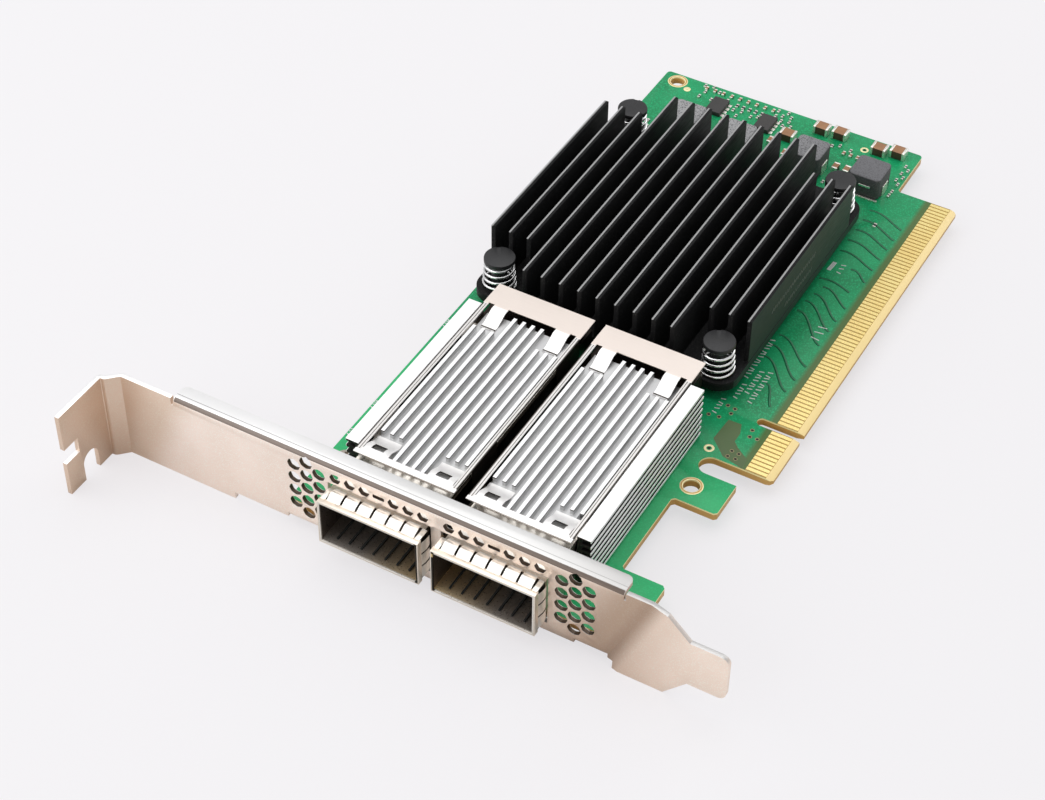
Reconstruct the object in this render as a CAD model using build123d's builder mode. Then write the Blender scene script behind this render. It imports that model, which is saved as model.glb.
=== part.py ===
from build123d import *
import os
from math import cos, hypot, pi, sin

os.makedirs("parts", exist_ok=True)

# Two-port network interface card with its full-height bracket, in millimetres.
# The origin is on the component face, where the centre line of the key notch meets the outer edge of
# the edge connector. +X leaves the card through the edge connector, +Y runs from the bracket to the
# rear of the board, and +Z leaves the component face.

# Circuit board
board_thick = 1.57
board_depth = 68.9  # outer edge of the edge connector to the far long edge
board_front = 57.15  # key notch to the bracket end
rear_strip = 24.34  # main heat sink to the rear end
corner_round = 0.8
step_chamfer = 0.5
edge_setback = 4.9  # tab and ear edges behind the outer edge of the contacts
step_setback = 12.55  # long edge beside the rear corner
tongue_rear = 72.15  # key notch to the end of the long contact row
tongue_front = 12.15  # key notch to the end of the short contact row
key_width = 1.9
key_depth = 8.7
hook_width = 4.2  # slot for the socket's retaining hook
hook_depth = 13.0
tab_end = 24.2  # key notch to the end of the tab behind the hook slot
recess_setback = 13.2
ear_start = 42.9  # key notch to the front ear
bevel_length = 1.3
bevel_drop = 0.42
mounting_hole = 3.0
corner_hole_inset = 2.4  # rear mounting hole from both edges of its corner
tab_hole_x = -11.6
tab_hole_y = -20.2

# Edge contacts
pad_pitch = 1.0
pad_width = 0.7
pad_thick = 0.05
pad_start = 5.3  # inner end, behind the outer edge
first_pad = 1.5  # key notch to the first contact on each side
short_row_count = 11
long_row_count = 71
pad_gap = 0.05  # contact to bevel

# Full-height bracket
sheet = 0.86
bracket_gap = 1.04  # board edge to the inner face
bracket_length = 120.02
bracket_width = 18.42
bracket_foot = 3.95  # lower edge below the component face
tongue_reach = 14.2  # tongue tip past the contacts
tab_depth = 13.45  # outer face to the outer edge of the tab
jog_depth = 2.0  # forward step of the tab end
jog_run = 2.0
jog_from_tab = 1.45
bend_round = 0.8  # folds, to the middle of the sheet
tab_round = 0.6
jog_round = 0.5
tongue_jog = 0.8
crease_slope = 0.438
crease_start = 6.35  # crease at the lower edge, behind the contacts' edge
crease_half = 1.5
tongue_shoulder = 3.3
tongue_waist = 7.4
tongue_foot = 0.65  # lower edge of the tongue above the component face
tongue_width = 9.75
tongue_round = 1.5
rise_left = 80.0  # raised lower edge over the ports, behind the contacts' edge
rise_right = 6.0
flange_left = 91.3
flange_right = 4.8
flange_depth = 3.85  # outer face to the tip of the fold
flange_round = 1.2
fold_height = 1.6
relief = 0.4
notch_depth = 3.6
notch_low = 3.4
notch_high = 6.7
screw_slot = 4.0
screw_slot_offset = 7.4  # outer face to the middle of the chassis screw slot
screw_slot_top = 1.5
vent_hole = 2.6
vent_pitch = 3.0
vent_spacing = 2.48
vent_top = 11.2
vent_sides = 8
vent_counts = (4, 5, 4)  # holes in the columns beside a port, from the port outwards
vent_left_inset = 1.75  # port opening to the middle of the first column
vent_right_inset = 2.45
slit_hole = 2.25
slit_pitch = 2.83
slit_rise = 1.4  # row of small holes above the port openings
slit_sides = 6
slit_width = 0.8
opening_margin = 0.42  # port opening beside the cage
opening_below = 0.6
opening_above = 1.1

# Bracket screws
ear_width = 6.2
ear_end = 3.8  # screw to the end of its ear
ear_corner = 1.8
screw_left_x = -65.8
screw_right_x = -10.2
screw_left_setback = 12.5  # inner face of the bracket to the screws
screw_right_setback = 7.4
screw_shank = 2.9
screw_head = 5.2
screw_head_high = 1.9
screw_tip = 0.8  # shank below the ears
thread_clearance = 0.05
hole_clearance = 0.1
round_sides = 12  # flat sides of the screws, the pins and their holes

# Ports
port_left_x = -50.2
port_pitch = 21.9
cage_width = 19.16
cage_high = 9.4
cage_wall = 0.3
cage_front = 3.85  # mouth of the cage in front of the bracket
cage_length = 59.9
roof_width = 14.8
roof_front = 19.2  # mouth of the cage to the opening in its roof
roof_from_rear = 12.3
connector_width = 15.6
connector_depth = 9.2
connector_high = 6.4
connector_gap = 0.5  # connector to the rear wall and to the floor opening
slot_width = 12.6
slot_high = 1.4
slot_depth = 6.0
slot_height = 4.1  # middle of the card slot above the board
collar_length = 1.2
collar_sheet = 0.2
finger_sheet = 0.15
finger_width = 2.45
finger_pitch = 2.87
finger_rise = 0.55
finger_gap = 0.2  # finger tips to the bracket
top_finger_count = 6
side_finger_count = 3

# Port heat sinks
port_fin_count = 10
port_fin_pitch = 1.83
port_fin = 0.7
port_fin_high = 1.2
port_base = 0.6
port_sink_rear = 6.0  # rear end of the cage to the long fins
port_sink_front = 13.1  # mouth of the cage to the long fins
port_fin_setback = 5.05  # ends of the long fins to those of the short fins
pedestal_gap = 0.4
pedestal_drop = 0.7
long_fin_count = 4

# Heat sink clips
clip_sheet = 0.25
clip_gap = 0.05  # clip to the cage
clip_rise = 2.0  # top of the clip above the cage
clip_rail = 1.0
clip_rear_inset = 0.5  # rear end of the cage to the clip, which overhangs it
clip_front_inset = 11.5  # mouth of the cage to the clip
clip_rear_plate = 5.3
clip_front_bar = 1.4
clip_tab_x = 6.3
rear_tab_width = 2.9
rear_tab_length = 5.2
front_tab_width = 4.9
front_tab_length = 4.7
skirt_length = 8.0
skirt_drop = 6.2
skirt_inset = 6.0

# Side heat sinks
side_gap = 0.1
side_depth = 2.65
side_spine = 0.8
side_high = 11.3
side_ridge_count = 8
side_ridge = 0.6
side_pitch = 1.45
side_front = 9.55  # outer face of the bracket to the front end
side_rear_inset = 5.6  # rear end of the cage to the rear end

# Main heat sink
sink_gap = 3.45  # cages to the heat sink
sink_margin = 0.55  # far long edge of the board to the heat sink
sink_width = 53.5
sink_length = 60.3
sink_base_low = 2.4
sink_base = 1.8
sink_round = 3.8
sink_fin_high = 9.6
sink_fin = 0.9
sink_fin_margin = 0.12  # outer fins to the edges of the base
sink_long_fin_count = 9
sink_short_fin_count = 3  # on each side
short_fin_setback = 8.05
pin_inset_x = 4.3
pin_inset_y = 3.95

# Controller under the main heat sink
substrate_size = 31.0
substrate_thick = 1.25
lid_size = 25.0
lid_thick = 1.05
lid_bevel = 0.25
pad_size = 23.0

# Push pins and springs
pin_shaft = 3.0
pin_fit = 0.1  # shaft in the board
pin_sink_fit = 0.6  # shaft in the heat sink
pin_cap = 5.9
pin_cap_thick = 1.0
pin_cap_top = 10.95
barb_width = 4.2
barb_gap = 0.08
barb_bevel = 0.9
barb_length = 2.25
barb_slit = 0.7
spring_wire = 0.5
spring_turn_count = 4
spring_sides = 7  # straight lengths in a turn
spring_seat = 0.08  # play at each end of a spring
spring_low = 6.8  # outer diameters
spring_high = 5.9

# Rear components, placed from the rear corner of the far long edge
inductor_size = 6.7
inductor_high = 4.8
inductor_corner = 0.6
inductor_lift = 0.2
inductor_places = [(11.2, -16.69), (22.8, -17.29), (37.7, -14.79), (50.75, -14.79)]
terminal_width = 2.6
terminal_foot = 1.5
switch_size = (3.3, 5.0)
switch_high = 1.0
switch_places = [(13.6, -6.69), (24.6, -6.89)]
large_cap = (3.2, 2.5)
large_cap_high = 1.8
large_cap_places = [(35.5, -2.99), (39.4, -2.69), (48.3, -3.49), (52.0, -2.49), (30.4, -8.59)]
medium_cap = (1.25, 2.0)
medium_cap_high = 1.2
medium_cap_places = [(42.9, -12.89), (45.2, -12.69), (17.0, -10.89), (28.1, -11.69), (32.3, -14.09)]
chip_size = (0.6, 1.1)
chip_high = 0.5
chip_rows = [(8.9, -1.89, 9, 1.9), (7.9, -9.89, 4, 1.7), (42.3, -7.49, 6, 1.5), (2.7, -21.69, 5, 1.6)]
resistor_high = 0.35
resistor_rows = [(16.9, -4.09, 5, 1.4), (31.9, -20.49, 6, 1.5), (56.7, -25.09, 1, 1.5)]
edge_resistor_count = 3  # beside the rear end of the left cage
edge_resistor_pitch = 1.5
edge_resistor_inset = 2.5  # rear end of the cage to the middle one

# Solder side, placed from the same corner
flash_size = (3.9, 4.9)
flash_high = 1.5
flash_place = (10.9, -15.09)
lead_span = 6.0
lead_width = 0.4
lead_thick = 0.2
lead_pitch = 1.27
lead_count = 4
crystal_size = (3.2, 2.5)
crystal_high = 0.8
crystal_place = (41.9, -76.59)
decoupling_count = 4
decoupling_pitch = 3.0

# Places worked out from the sizes above
bracket_inner = board_front + bracket_gap
bracket_outer = bracket_inner + sheet
bracket_mid = -(bracket_outer - sheet / 2)
bracket_top = bracket_width - bracket_foot
tab_outer = tongue_reach - bracket_length
screw_places = [
    (screw_left_x, screw_left_setback - bracket_inner),
    (screw_right_x, screw_right_setback - bracket_inner),
]
ports = [("left", port_left_x, -1), ("right", port_left_x + port_pitch, 1)]
cage_mouth = -(bracket_outer + cage_front)
cage_rear = cage_mouth + cage_length
cage_half = cage_width / 2
roof_length = cage_length - roof_front - roof_from_rear
port_sink_length = cage_length - port_sink_front - port_sink_rear
port_short_fins = port_sink_length - 2 * port_fin_setback
clip_half = cage_half + clip_gap + clip_sheet
clip_top = cage_high + clip_rise
sink_x = sink_margin + sink_width / 2 - board_depth
sink_y = cage_rear + sink_gap + sink_length / 2
sink_base_top = sink_base_low + sink_base
board_rear = sink_y + sink_length / 2 + rear_strip
rear_corner = (-board_depth, board_rear)
pin_places = [
    (sink_x + across * (sink_width / 2 - pin_inset_x), sink_y + along * (sink_length / 2 - pin_inset_y))
    for across in (-1, 1)
    for along in (-1, 1)
]
board_bottom = Plane.XY.offset(-board_thick)

# Circuit board: outline with the keyed tongue, hook slot, tab, recess and front ear
with BuildPart() as circuit_board:
    with BuildSketch(board_bottom) as board_outline:
        with BuildLine():
            Polyline(
                (-board_depth, board_rear),
                (-step_setback, board_rear),
                (-step_setback, tongue_rear),
                (0, tongue_rear),
                (0, -tongue_front),
                (-edge_setback, -tongue_front),
                (-edge_setback, -tab_end),
                (-recess_setback, -tab_end),
                (-recess_setback, -ear_start),
                (-edge_setback, -ear_start),
                (-edge_setback, -board_front),
                (-board_depth, -board_front),
                close=True,
            )
        make_face()
        corners = board_outline.vertices().sort_by(Axis.Y)
        chamfer(corners[2:-2], length=step_chamfer)
        ends = board_outline.vertices().group_by(Axis.Y)
        fillet(ends[0] + ends[-1], radius=corner_round)
        with Locations(((key_width - key_depth) / 2, 0)):
            SlotCenterToCenter(key_depth, key_width, mode=Mode.SUBTRACT)
        with Locations(((hook_width - hook_depth) / 2, -tongue_front - hook_width / 2)):
            SlotCenterToCenter(hook_depth, hook_width, mode=Mode.SUBTRACT)
        with Locations(
            (corner_hole_inset - board_depth, board_rear - corner_hole_inset),
            (tab_hole_x, tab_hole_y),
        ):
            Circle(mounting_hole / 2, mode=Mode.SUBTRACT)
        with Locations(*screw_places):
            RegularPolygon(
                screw_shank / 2 + hole_clearance,
                round_sides,
                major_radius=False,
                mode=Mode.SUBTRACT,
            )
        with Locations(*pin_places):
            RegularPolygon(pin_shaft / 2 + pin_fit, round_sides, major_radius=False, mode=Mode.SUBTRACT)
    extrude(amount=board_thick)
    with BuildSketch(Plane.XZ):
        for face_z, drop in ((0, -bevel_drop), (-board_thick, bevel_drop)):
            with BuildLine():
                Polyline((-bevel_length, face_z), (0, face_z), (0, face_z + drop), close=True)
            make_face()
    extrude(amount=board_rear, both=True, mode=Mode.SUBTRACT)
circuit_board.part.label = "circuit_board"
export_step(circuit_board.part, "parts/circuit_board.step")

# Edge contacts, one group of pads on each face
pad_length = pad_start - bevel_length - pad_gap
for face_name, pad_plane in (("top", Plane.XY), ("bottom", board_bottom.offset(-pad_thick))):
    with BuildPart() as edge_contacts:
        with BuildSketch(pad_plane):
            for count, direction in ((short_row_count, -1), (long_row_count, 1)):
                row_middle = direction * (first_pad + (count - 1) * pad_pitch / 2)
                with Locations((-(pad_start - pad_length / 2), row_middle)):
                    with GridLocations(pad_length, pad_pitch, 1, count):
                        Rectangle(pad_length, pad_width)
        extrude(amount=pad_thick)
    edge_contacts.part.label = f"edge_contacts_{face_name}"
    export_step(edge_contacts.part, f"parts/edge_contacts_{face_name}.step")

# Full-height bracket: one folded and punched sheet
with BuildPart() as full_height_bracket:
    lower_edge = Plane.XY.offset(-bracket_foot)
    with BuildSketch(lower_edge):
        with BuildLine():
            FilletPolyline(
                (tab_outer + sheet / 2, -bracket_outer - tab_depth),
                (tab_outer + sheet / 2, bracket_mid - jog_depth),
                (tab_outer + jog_from_tab, bracket_mid - jog_depth),
                (tab_outer + jog_from_tab + jog_run, bracket_mid),
                (-crease_start - crease_half, bracket_mid),
                radius=[tab_round, jog_round, jog_round],
            )
        trace(line_width=sheet)
    extrude(amount=bracket_width)
    crease_climb = crease_slope * bracket_width
    with BuildSketch(lower_edge):
        with BuildLine():
            Polyline(
                (-crease_start - crease_half - crease_climb - sheet, bracket_mid),
                (-crease_start - crease_half, bracket_mid),
                (-crease_start + crease_half, bracket_mid - tongue_jog),
                (tongue_reach + sheet, bracket_mid - tongue_jog),
            )
        trace(line_width=sheet)
    extrude(amount=hypot(bracket_width, crease_climb), dir=(crease_slope, 0, 1))
    with BuildSketch(Plane.XZ) as bracket_outline:
        with BuildLine():
            Polyline(
                (tab_outer, -bracket_foot),
                (-rise_left, -bracket_foot),
                (-rise_left, -board_thick - sheet),
                (-rise_right, -board_thick - sheet),
                (-rise_right, -bracket_foot),
                (tongue_shoulder, -bracket_foot),
                (tongue_waist, tongue_foot),
                (tongue_reach, tongue_foot),
                (tongue_reach, tongue_foot + tongue_width),
                (tongue_waist, tongue_foot + tongue_width),
                (tongue_shoulder, bracket_top),
                (tab_outer, bracket_top),
                close=True,
            )
        make_face()
        fillet(bracket_outline.vertices().group_by(Axis.X)[-1], radius=tongue_round)
    extrude(amount=bracket_outer + tab_depth, mode=Mode.INTERSECT)

    # Top edge folded back, with a relief notch at each end of the fold
    fold_length = flange_left - flange_right
    fold_end = bracket_mid + fold_height
    with Locations((-(flange_left + flange_right) / 2, bracket_mid, bracket_top)):
        Box(fold_length + 2 * relief, 2 * sheet, 2 * fold_height, mode=Mode.SUBTRACT)
    with BuildSketch(Plane.YZ.offset(-flange_left)):
        with BuildLine():
            FilletPolyline(
                (bracket_mid, bracket_top - fold_height),
                (bracket_mid, bracket_top - sheet / 2),
                (fold_end, bracket_top - sheet / 2),
                radius=bend_round,
            )
        trace(line_width=sheet)
    extrude(amount=fold_length)
    with BuildSketch(Plane.XY.offset(bracket_top - sheet)) as flange:
        flange_tip = -bracket_outer + flange_depth
        with Locations((-(flange_left + flange_right) / 2, (fold_end + flange_tip) / 2)):
            Rectangle(fold_length, flange_tip - fold_end)
        fillet(flange.vertices().group_by(Axis.Y)[-1], radius=flange_round)
    extrude(amount=sheet)

    # Two ears folded back under the board, each with a threaded screw hole
    ear_plane = board_bottom.offset(-sheet)
    for screw_x, screw_y in screw_places:
        with Locations((screw_x, bracket_mid, -board_thick - sheet)):
            Box(ear_width, 2 * sheet, 2 * fold_height, mode=Mode.SUBTRACT)
        with BuildSketch(Plane.YZ.offset(screw_x - ear_width / 2)):
            with BuildLine():
                FilletPolyline(
                    (bracket_mid, fold_height - board_thick - sheet),
                    (bracket_mid, -board_thick - sheet / 2),
                    (fold_end, -board_thick - sheet / 2),
                    radius=bend_round,
                )
            trace(line_width=sheet)
        extrude(amount=ear_width)
        with BuildSketch(ear_plane) as ear:
            ear_tip = screw_y + ear_end
            with Locations((screw_x, (fold_end + ear_tip) / 2)):
                Rectangle(ear_width, ear_tip - fold_end)
            chamfer(ear.vertices().group_by(Axis.Y)[-1], length=ear_corner)
            with Locations((screw_x, screw_y)):
                RegularPolygon(
                    screw_shank / 2 + thread_clearance,
                    round_sides,
                    major_radius=False,
                    mode=Mode.SUBTRACT,
                )
        extrude(amount=sheet)

    # Chassis screw slot and rectangular notch in the tab
    with BuildSketch(Plane.YZ.offset(tab_outer)):
        slot_length = screw_slot_top + bracket_foot
        slot_middle = screw_slot_top - screw_slot / 2 - slot_length / 2
        with Locations((-bracket_outer - screw_slot_offset, slot_middle)):
            SlotCenterToCenter(slot_length, screw_slot, rotation=90)
        with Locations((-bracket_outer - tab_depth, (notch_low + notch_high) / 2)):
            Rectangle(2 * notch_depth, notch_high - notch_low)
    extrude(amount=sheet, mode=Mode.SUBTRACT)

    # Port openings and vents
    with BuildSketch(Plane.XZ.offset(bracket_inner)):
        for (_, port_x, outward), vent_inset in zip(ports, (vent_left_inset, vent_right_inset)):
            opening_top = cage_high + opening_above
            with Locations((port_x, (opening_top - opening_below) / 2)):
                Rectangle(cage_width + 2 * opening_margin, opening_top + opening_below)
            with Locations((port_x, opening_top + slit_rise)):
                Rectangle(slit_hole, slit_width)
                for half_row in (-2 * slit_pitch, 2 * slit_pitch):
                    with Locations((half_row, 0)):
                        with GridLocations(slit_pitch, slit_pitch, 3, 1):
                            RegularPolygon(slit_hole / 2, slit_sides)
            first_column = port_x + outward * (cage_half + opening_margin + vent_inset)
            for column, count in enumerate(vent_counts):
                column_x = first_column + outward * column * vent_spacing
                column_middle = vent_top - (vent_counts[0] - 1) * vent_pitch / 2
                with Locations((column_x, column_middle)):
                    with GridLocations(vent_pitch, vent_pitch, 1, count):
                        RegularPolygon(vent_hole / 2, vent_sides)
    extrude(amount=sheet + tongue_jog, mode=Mode.SUBTRACT)
full_height_bracket.part.label = "full_height_bracket"
export_step(full_height_bracket.part, "parts/full_height_bracket.step")

# Bracket screws, through the board into the ears
with BuildPart() as bracket_screws:
    shank_length = board_thick + sheet + screw_tip
    with BuildSketch(Plane.XY):
        with Locations(*screw_places):
            RegularPolygon(screw_shank / 2, round_sides)
    extrude(amount=-shank_length)
    with BuildSketch(Plane.XY):
        with Locations(*screw_places):
            RegularPolygon(screw_head / 2, round_sides)
    extrude(amount=screw_head_high, taper=12)
bracket_screws.part.label = "bracket_screws"
export_step(bracket_screws.part, "parts/bracket_screws.step")

for side, port_x, outward in ports:
    # Cage: a folded sheet box, open at the mouth, over the riding heat sink and over the connector
    with BuildPart() as cage:
        with BuildSketch(Plane.XY):
            with Locations((port_x, (cage_mouth + cage_rear) / 2)):
                Rectangle(cage_width, cage_length)
        extrude(amount=cage_high)
        offset(amount=-cage_wall, openings=cage.faces().sort_by(Axis.Y)[0])
        with BuildSketch(Plane.XY.offset(cage_high - cage_wall)):
            with Locations((port_x, cage_rear - roof_from_rear - roof_length / 2)):
                Rectangle(roof_width, roof_length)
        extrude(amount=cage_wall, mode=Mode.SUBTRACT)
        with BuildSketch(Plane.XY):
            floor_length = connector_depth + 2 * connector_gap
            with Locations((port_x, cage_rear - cage_wall - floor_length / 2)):
                Rectangle(connector_width + 2 * connector_gap, floor_length)
        extrude(amount=cage_wall, mode=Mode.SUBTRACT)
    cage.part.label = f"cage_{side}"
    export_step(cage.part, f"parts/cage_{side}.step")

    # Module connector: a block with a card slot, inside the rear of the cage
    with BuildPart() as module_connector:
        block_rear = cage_rear - cage_wall - connector_gap
        with BuildSketch(Plane.XY):
            with Locations((port_x, block_rear - connector_depth / 2)):
                Rectangle(connector_width, connector_depth)
        extrude(amount=connector_high)
        chamfer(
            module_connector.edges().filter_by(Axis.X).group_by(Axis.Z)[-1].sort_by(Axis.Y)[0],
            length=cage_wall * 2,
        )
        with BuildSketch(Plane.XZ.offset(connector_depth - block_rear)):
            with Locations((port_x, slot_height)):
                Rectangle(slot_width, slot_high)
        extrude(amount=-slot_depth, mode=Mode.SUBTRACT)
    module_connector.part.label = f"module_connector_{side}"
    export_step(module_connector.part, f"parts/module_connector_{side}.step")

    # Spring finger collar round the mouth of the cage
    with BuildPart() as emi_fingers:
        collar_width = cage_width + 2 * collar_sheet
        collar_high = cage_high + 2 * collar_sheet
        with BuildSketch(Plane.XZ.offset(-cage_mouth - collar_length)):
            with Locations((port_x, cage_high / 2)):
                Rectangle(collar_width, collar_high)
                Rectangle(cage_width, cage_high, mode=Mode.SUBTRACT)
        extrude(amount=collar_length)
        finger_root = cage_mouth + collar_length
        finger_tip = -bracket_outer - finger_gap
        finger_middle = (finger_root + finger_tip) / 2
        level = collar_sheet - finger_sheet / 2
        row_width = (top_finger_count - 1) * finger_pitch + finger_width
        for edge, direction in ((cage_high, 1), (0, -1)):
            for place in range(top_finger_count):
                finger_x = port_x - row_width / 2 + place * finger_pitch
                with BuildSketch(Plane.YZ.offset(finger_x)):
                    with BuildLine():
                        Polyline(
                            (finger_root, edge + direction * level),
                            (finger_middle, edge + direction * (level + finger_rise)),
                            (finger_tip, edge + direction * (level + finger_rise / 2)),
                        )
                    trace(line_width=finger_sheet)
                extrude(amount=finger_width)
        column_high = (side_finger_count - 1) * finger_pitch + finger_width
        for direction in (-1, 1):
            wall_x = port_x + direction * (cage_half + level)
            for place in range(side_finger_count):
                finger_z = (cage_high - column_high) / 2 + place * finger_pitch
                with BuildSketch(Plane.XY.offset(finger_z)):
                    with BuildLine():
                        Polyline(
                            (wall_x, finger_root),
                            (wall_x + direction * opening_margin / 2, finger_middle),
                            (wall_x, finger_tip),
                        )
                    trace(line_width=finger_sheet)
                extrude(amount=finger_width)
    emi_fingers.part.label = f"emi_fingers_{side}"
    export_step(emi_fingers.part, f"parts/emi_fingers_{side}.step")

    # Riding heat sink: fins on a base plate, with a pedestal through the roof of the cage
    with BuildPart() as port_heatsink:
        sink_middle = cage_rear - port_sink_rear - port_sink_length / 2
        base_width = (port_fin_count - 1) * port_fin_pitch + port_fin
        with BuildSketch(Plane.XY.offset(cage_high)):
            with Locations((port_x, sink_middle)):
                Rectangle(base_width, port_sink_length)
        extrude(amount=port_base)
        with BuildSketch(Plane.XY.offset(cage_high)):
            with Locations((port_x, cage_rear - roof_from_rear - roof_length / 2)):
                Rectangle(roof_width - 2 * pedestal_gap, roof_length - 2 * pedestal_gap)
        extrude(amount=-pedestal_drop)
        with BuildSketch(Plane.XY.offset(cage_high + port_base)):
            with Locations((port_x, sink_middle)):
                with GridLocations(port_fin_pitch, port_fin_pitch, long_fin_count, 1):
                    Rectangle(port_fin, port_sink_length)
            side_fin_count = (port_fin_count - long_fin_count) // 2
            group_offset = (long_fin_count + side_fin_count) * port_fin_pitch / 2
            with Locations((port_x - group_offset, sink_middle), (port_x + group_offset, sink_middle)):
                with GridLocations(port_fin_pitch, port_fin_pitch, side_fin_count, 1):
                    Rectangle(port_fin, port_short_fins)
        extrude(amount=port_fin_high)
    port_heatsink.part.label = f"port_heatsink_{side}"
    export_step(port_heatsink.part, f"parts/port_heatsink_{side}.step")

    # Clip: a flat spring frame with tabs bent down on the base plate and skirts beside the cage
    with BuildPart() as heatsink_clip:
        clip_rear = cage_rear + clip_rear_inset
        clip_front = cage_mouth + clip_front_inset
        window_front = clip_front + clip_front_bar
        window_rear = clip_rear - clip_rear_plate
        with BuildSketch(Plane.XY.offset(clip_top - clip_sheet)):
            with Locations((port_x, (clip_front + clip_rear) / 2)):
                Rectangle(2 * clip_half, clip_rear - clip_front)
            with Locations((port_x, (window_front + window_rear) / 2)):
                Rectangle(
                    2 * (clip_half - clip_rail),
                    window_rear - window_front,
                    mode=Mode.SUBTRACT,
                )
        extrude(amount=clip_sheet)
        tab_level = clip_top - clip_sheet / 2
        seat_level = cage_high + port_base + clip_sheet / 2
        tabs = (
            (window_rear, -rear_tab_length, rear_tab_width),
            (window_front, front_tab_length, front_tab_width),
        )
        for root, reach, width in tabs:
            for tab_x in (port_x - clip_tab_x, port_x + clip_tab_x):
                with BuildSketch(Plane.YZ.offset(tab_x - width / 2)):
                    with BuildLine():
                        Polyline(
                            (root - reach / 8, tab_level),
                            (root + reach / 4, tab_level),
                            (root + reach * 3 / 4, seat_level),
                            (root + reach, seat_level),
                        )
                    trace(line_width=clip_sheet)
                extrude(amount=width)
        with BuildSketch(Plane.XY.offset(clip_top - clip_sheet)):
            for skirt_y in (clip_front + skirt_inset, clip_rear - skirt_inset - skirt_length):
                for direction in (-1, 1):
                    skirt_x = port_x + direction * (clip_half - clip_sheet / 2)
                    with Locations((skirt_x, skirt_y + skirt_length / 2)):
                        Rectangle(clip_sheet, skirt_length)
        extrude(amount=-skirt_drop)
    heatsink_clip.part.label = f"heatsink_clip_{side}"
    export_step(heatsink_clip.part, f"parts/heatsink_clip_{side}.step")

    # Side heat sink: a ribbed extrusion standing along the outer wall of the cage
    with BuildPart() as side_heatsink:
        spine_x = port_x + outward * (clip_half + side_gap)
        with BuildSketch(Plane.XZ.offset(bracket_outer - side_front)):
            with Locations((spine_x + outward * side_spine / 2, side_high / 2)):
                Rectangle(side_spine, side_high)
            ridge_middle = side_high - side_ridge / 2 - (side_ridge_count - 1) * side_pitch / 2
            with Locations((spine_x + outward * side_depth / 2, ridge_middle)):
                with GridLocations(side_pitch, side_pitch, 1, side_ridge_count):
                    Rectangle(side_depth, side_ridge)
        extrude(amount=side_front + side_rear_inset - bracket_outer - cage_rear)
    side_heatsink.part.label = f"side_heatsink_{side}"
    export_step(side_heatsink.part, f"parts/side_heatsink_{side}.step")

# Controller package and its thermal pad
with BuildPart() as controller_substrate:
    with BuildSketch(Plane.XY):
        with Locations((sink_x, sink_y)):
            Rectangle(substrate_size, substrate_size)
    extrude(amount=substrate_thick)
controller_substrate.part.label = "controller_substrate"
export_step(controller_substrate.part, "parts/controller_substrate.step")

with BuildPart() as controller_lid:
    with BuildSketch(Plane.XY.offset(substrate_thick)):
        with Locations((sink_x, sink_y)):
            Rectangle(lid_size, lid_size)
    extrude(amount=lid_thick)
    chamfer(controller_lid.faces().sort_by(Axis.Z)[-1].edges(), length=lid_bevel)
controller_lid.part.label = "controller_lid"
export_step(controller_lid.part, "parts/controller_lid.step")

with BuildPart() as thermal_pad:
    pad_level = substrate_thick + lid_thick
    with BuildSketch(Plane.XY.offset(pad_level)):
        with Locations((sink_x, sink_y)):
            Rectangle(pad_size, pad_size)
    extrude(amount=sink_base_low - pad_level)
thermal_pad.part.label = "thermal_pad"
export_step(thermal_pad.part, "parts/thermal_pad.step")

# Main heat sink: rounded base plate with straight fins, the outer ones short to clear the pins
with BuildPart() as main_heatsink:
    with BuildSketch(Plane.XY.offset(sink_base_low)):
        with Locations((sink_x, sink_y)):
            RectangleRounded(sink_width, sink_length, sink_round)
        with Locations(*pin_places):
            RegularPolygon(
                (pin_shaft + pin_sink_fit) / 2,
                round_sides,
                major_radius=False,
                mode=Mode.SUBTRACT,
            )
    extrude(amount=sink_base)
    fin_count = sink_long_fin_count + 2 * sink_short_fin_count
    sink_fin_pitch = (sink_width - sink_fin - 2 * sink_fin_margin) / (fin_count - 1)
    short_fin_length = sink_length - 2 * short_fin_setback
    with BuildSketch(Plane.XY.offset(sink_base_top)):
        with Locations((sink_x, sink_y)):
            with GridLocations(sink_fin_pitch, sink_fin_pitch, sink_long_fin_count, 1):
                Rectangle(sink_fin, sink_length)
        group_offset = (sink_long_fin_count + sink_short_fin_count) * sink_fin_pitch / 2
        with Locations((sink_x - group_offset, sink_y), (sink_x + group_offset, sink_y)):
            with GridLocations(sink_fin_pitch, sink_fin_pitch, sink_short_fin_count, 1):
                Rectangle(sink_fin, short_fin_length)
    extrude(amount=sink_fin_high)
main_heatsink.part.label = "main_heatsink"
export_step(main_heatsink.part, "parts/main_heatsink.step")

# Push pins: a cap, a shaft and a split barb that snaps under the board
with BuildPart() as push_pins:
    barb_top = -board_thick - barb_gap
    barb_end = barb_top - barb_length
    cap_low = pin_cap_top - pin_cap_thick
    with BuildSketch(Plane.XY.offset(cap_low)):
        with Locations(*pin_places):
            RegularPolygon(pin_cap / 2, round_sides)
    extrude(amount=pin_cap_thick)
    with BuildSketch(Plane.XY.offset(barb_top)):
        with Locations(*pin_places):
            RegularPolygon(pin_shaft / 2, round_sides)
    extrude(amount=cap_low - barb_top)
    with BuildSketch(Plane.XY.offset(barb_top)):
        with Locations(*pin_places):
            RegularPolygon(barb_width / 2, round_sides)
    extrude(amount=-barb_length)
    chamfer(push_pins.faces().group_by(Axis.Z)[0].edges(), length=barb_bevel)
    with BuildSketch(Plane.XY.offset(barb_end)):
        with Locations(*pin_places):
            Rectangle(barb_slit, barb_width)
    extrude(amount=barb_length + board_thick / 2, mode=Mode.SUBTRACT)
push_pins.part.label = "push_pins"
export_step(push_pins.part, "parts/push_pins.step")

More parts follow.
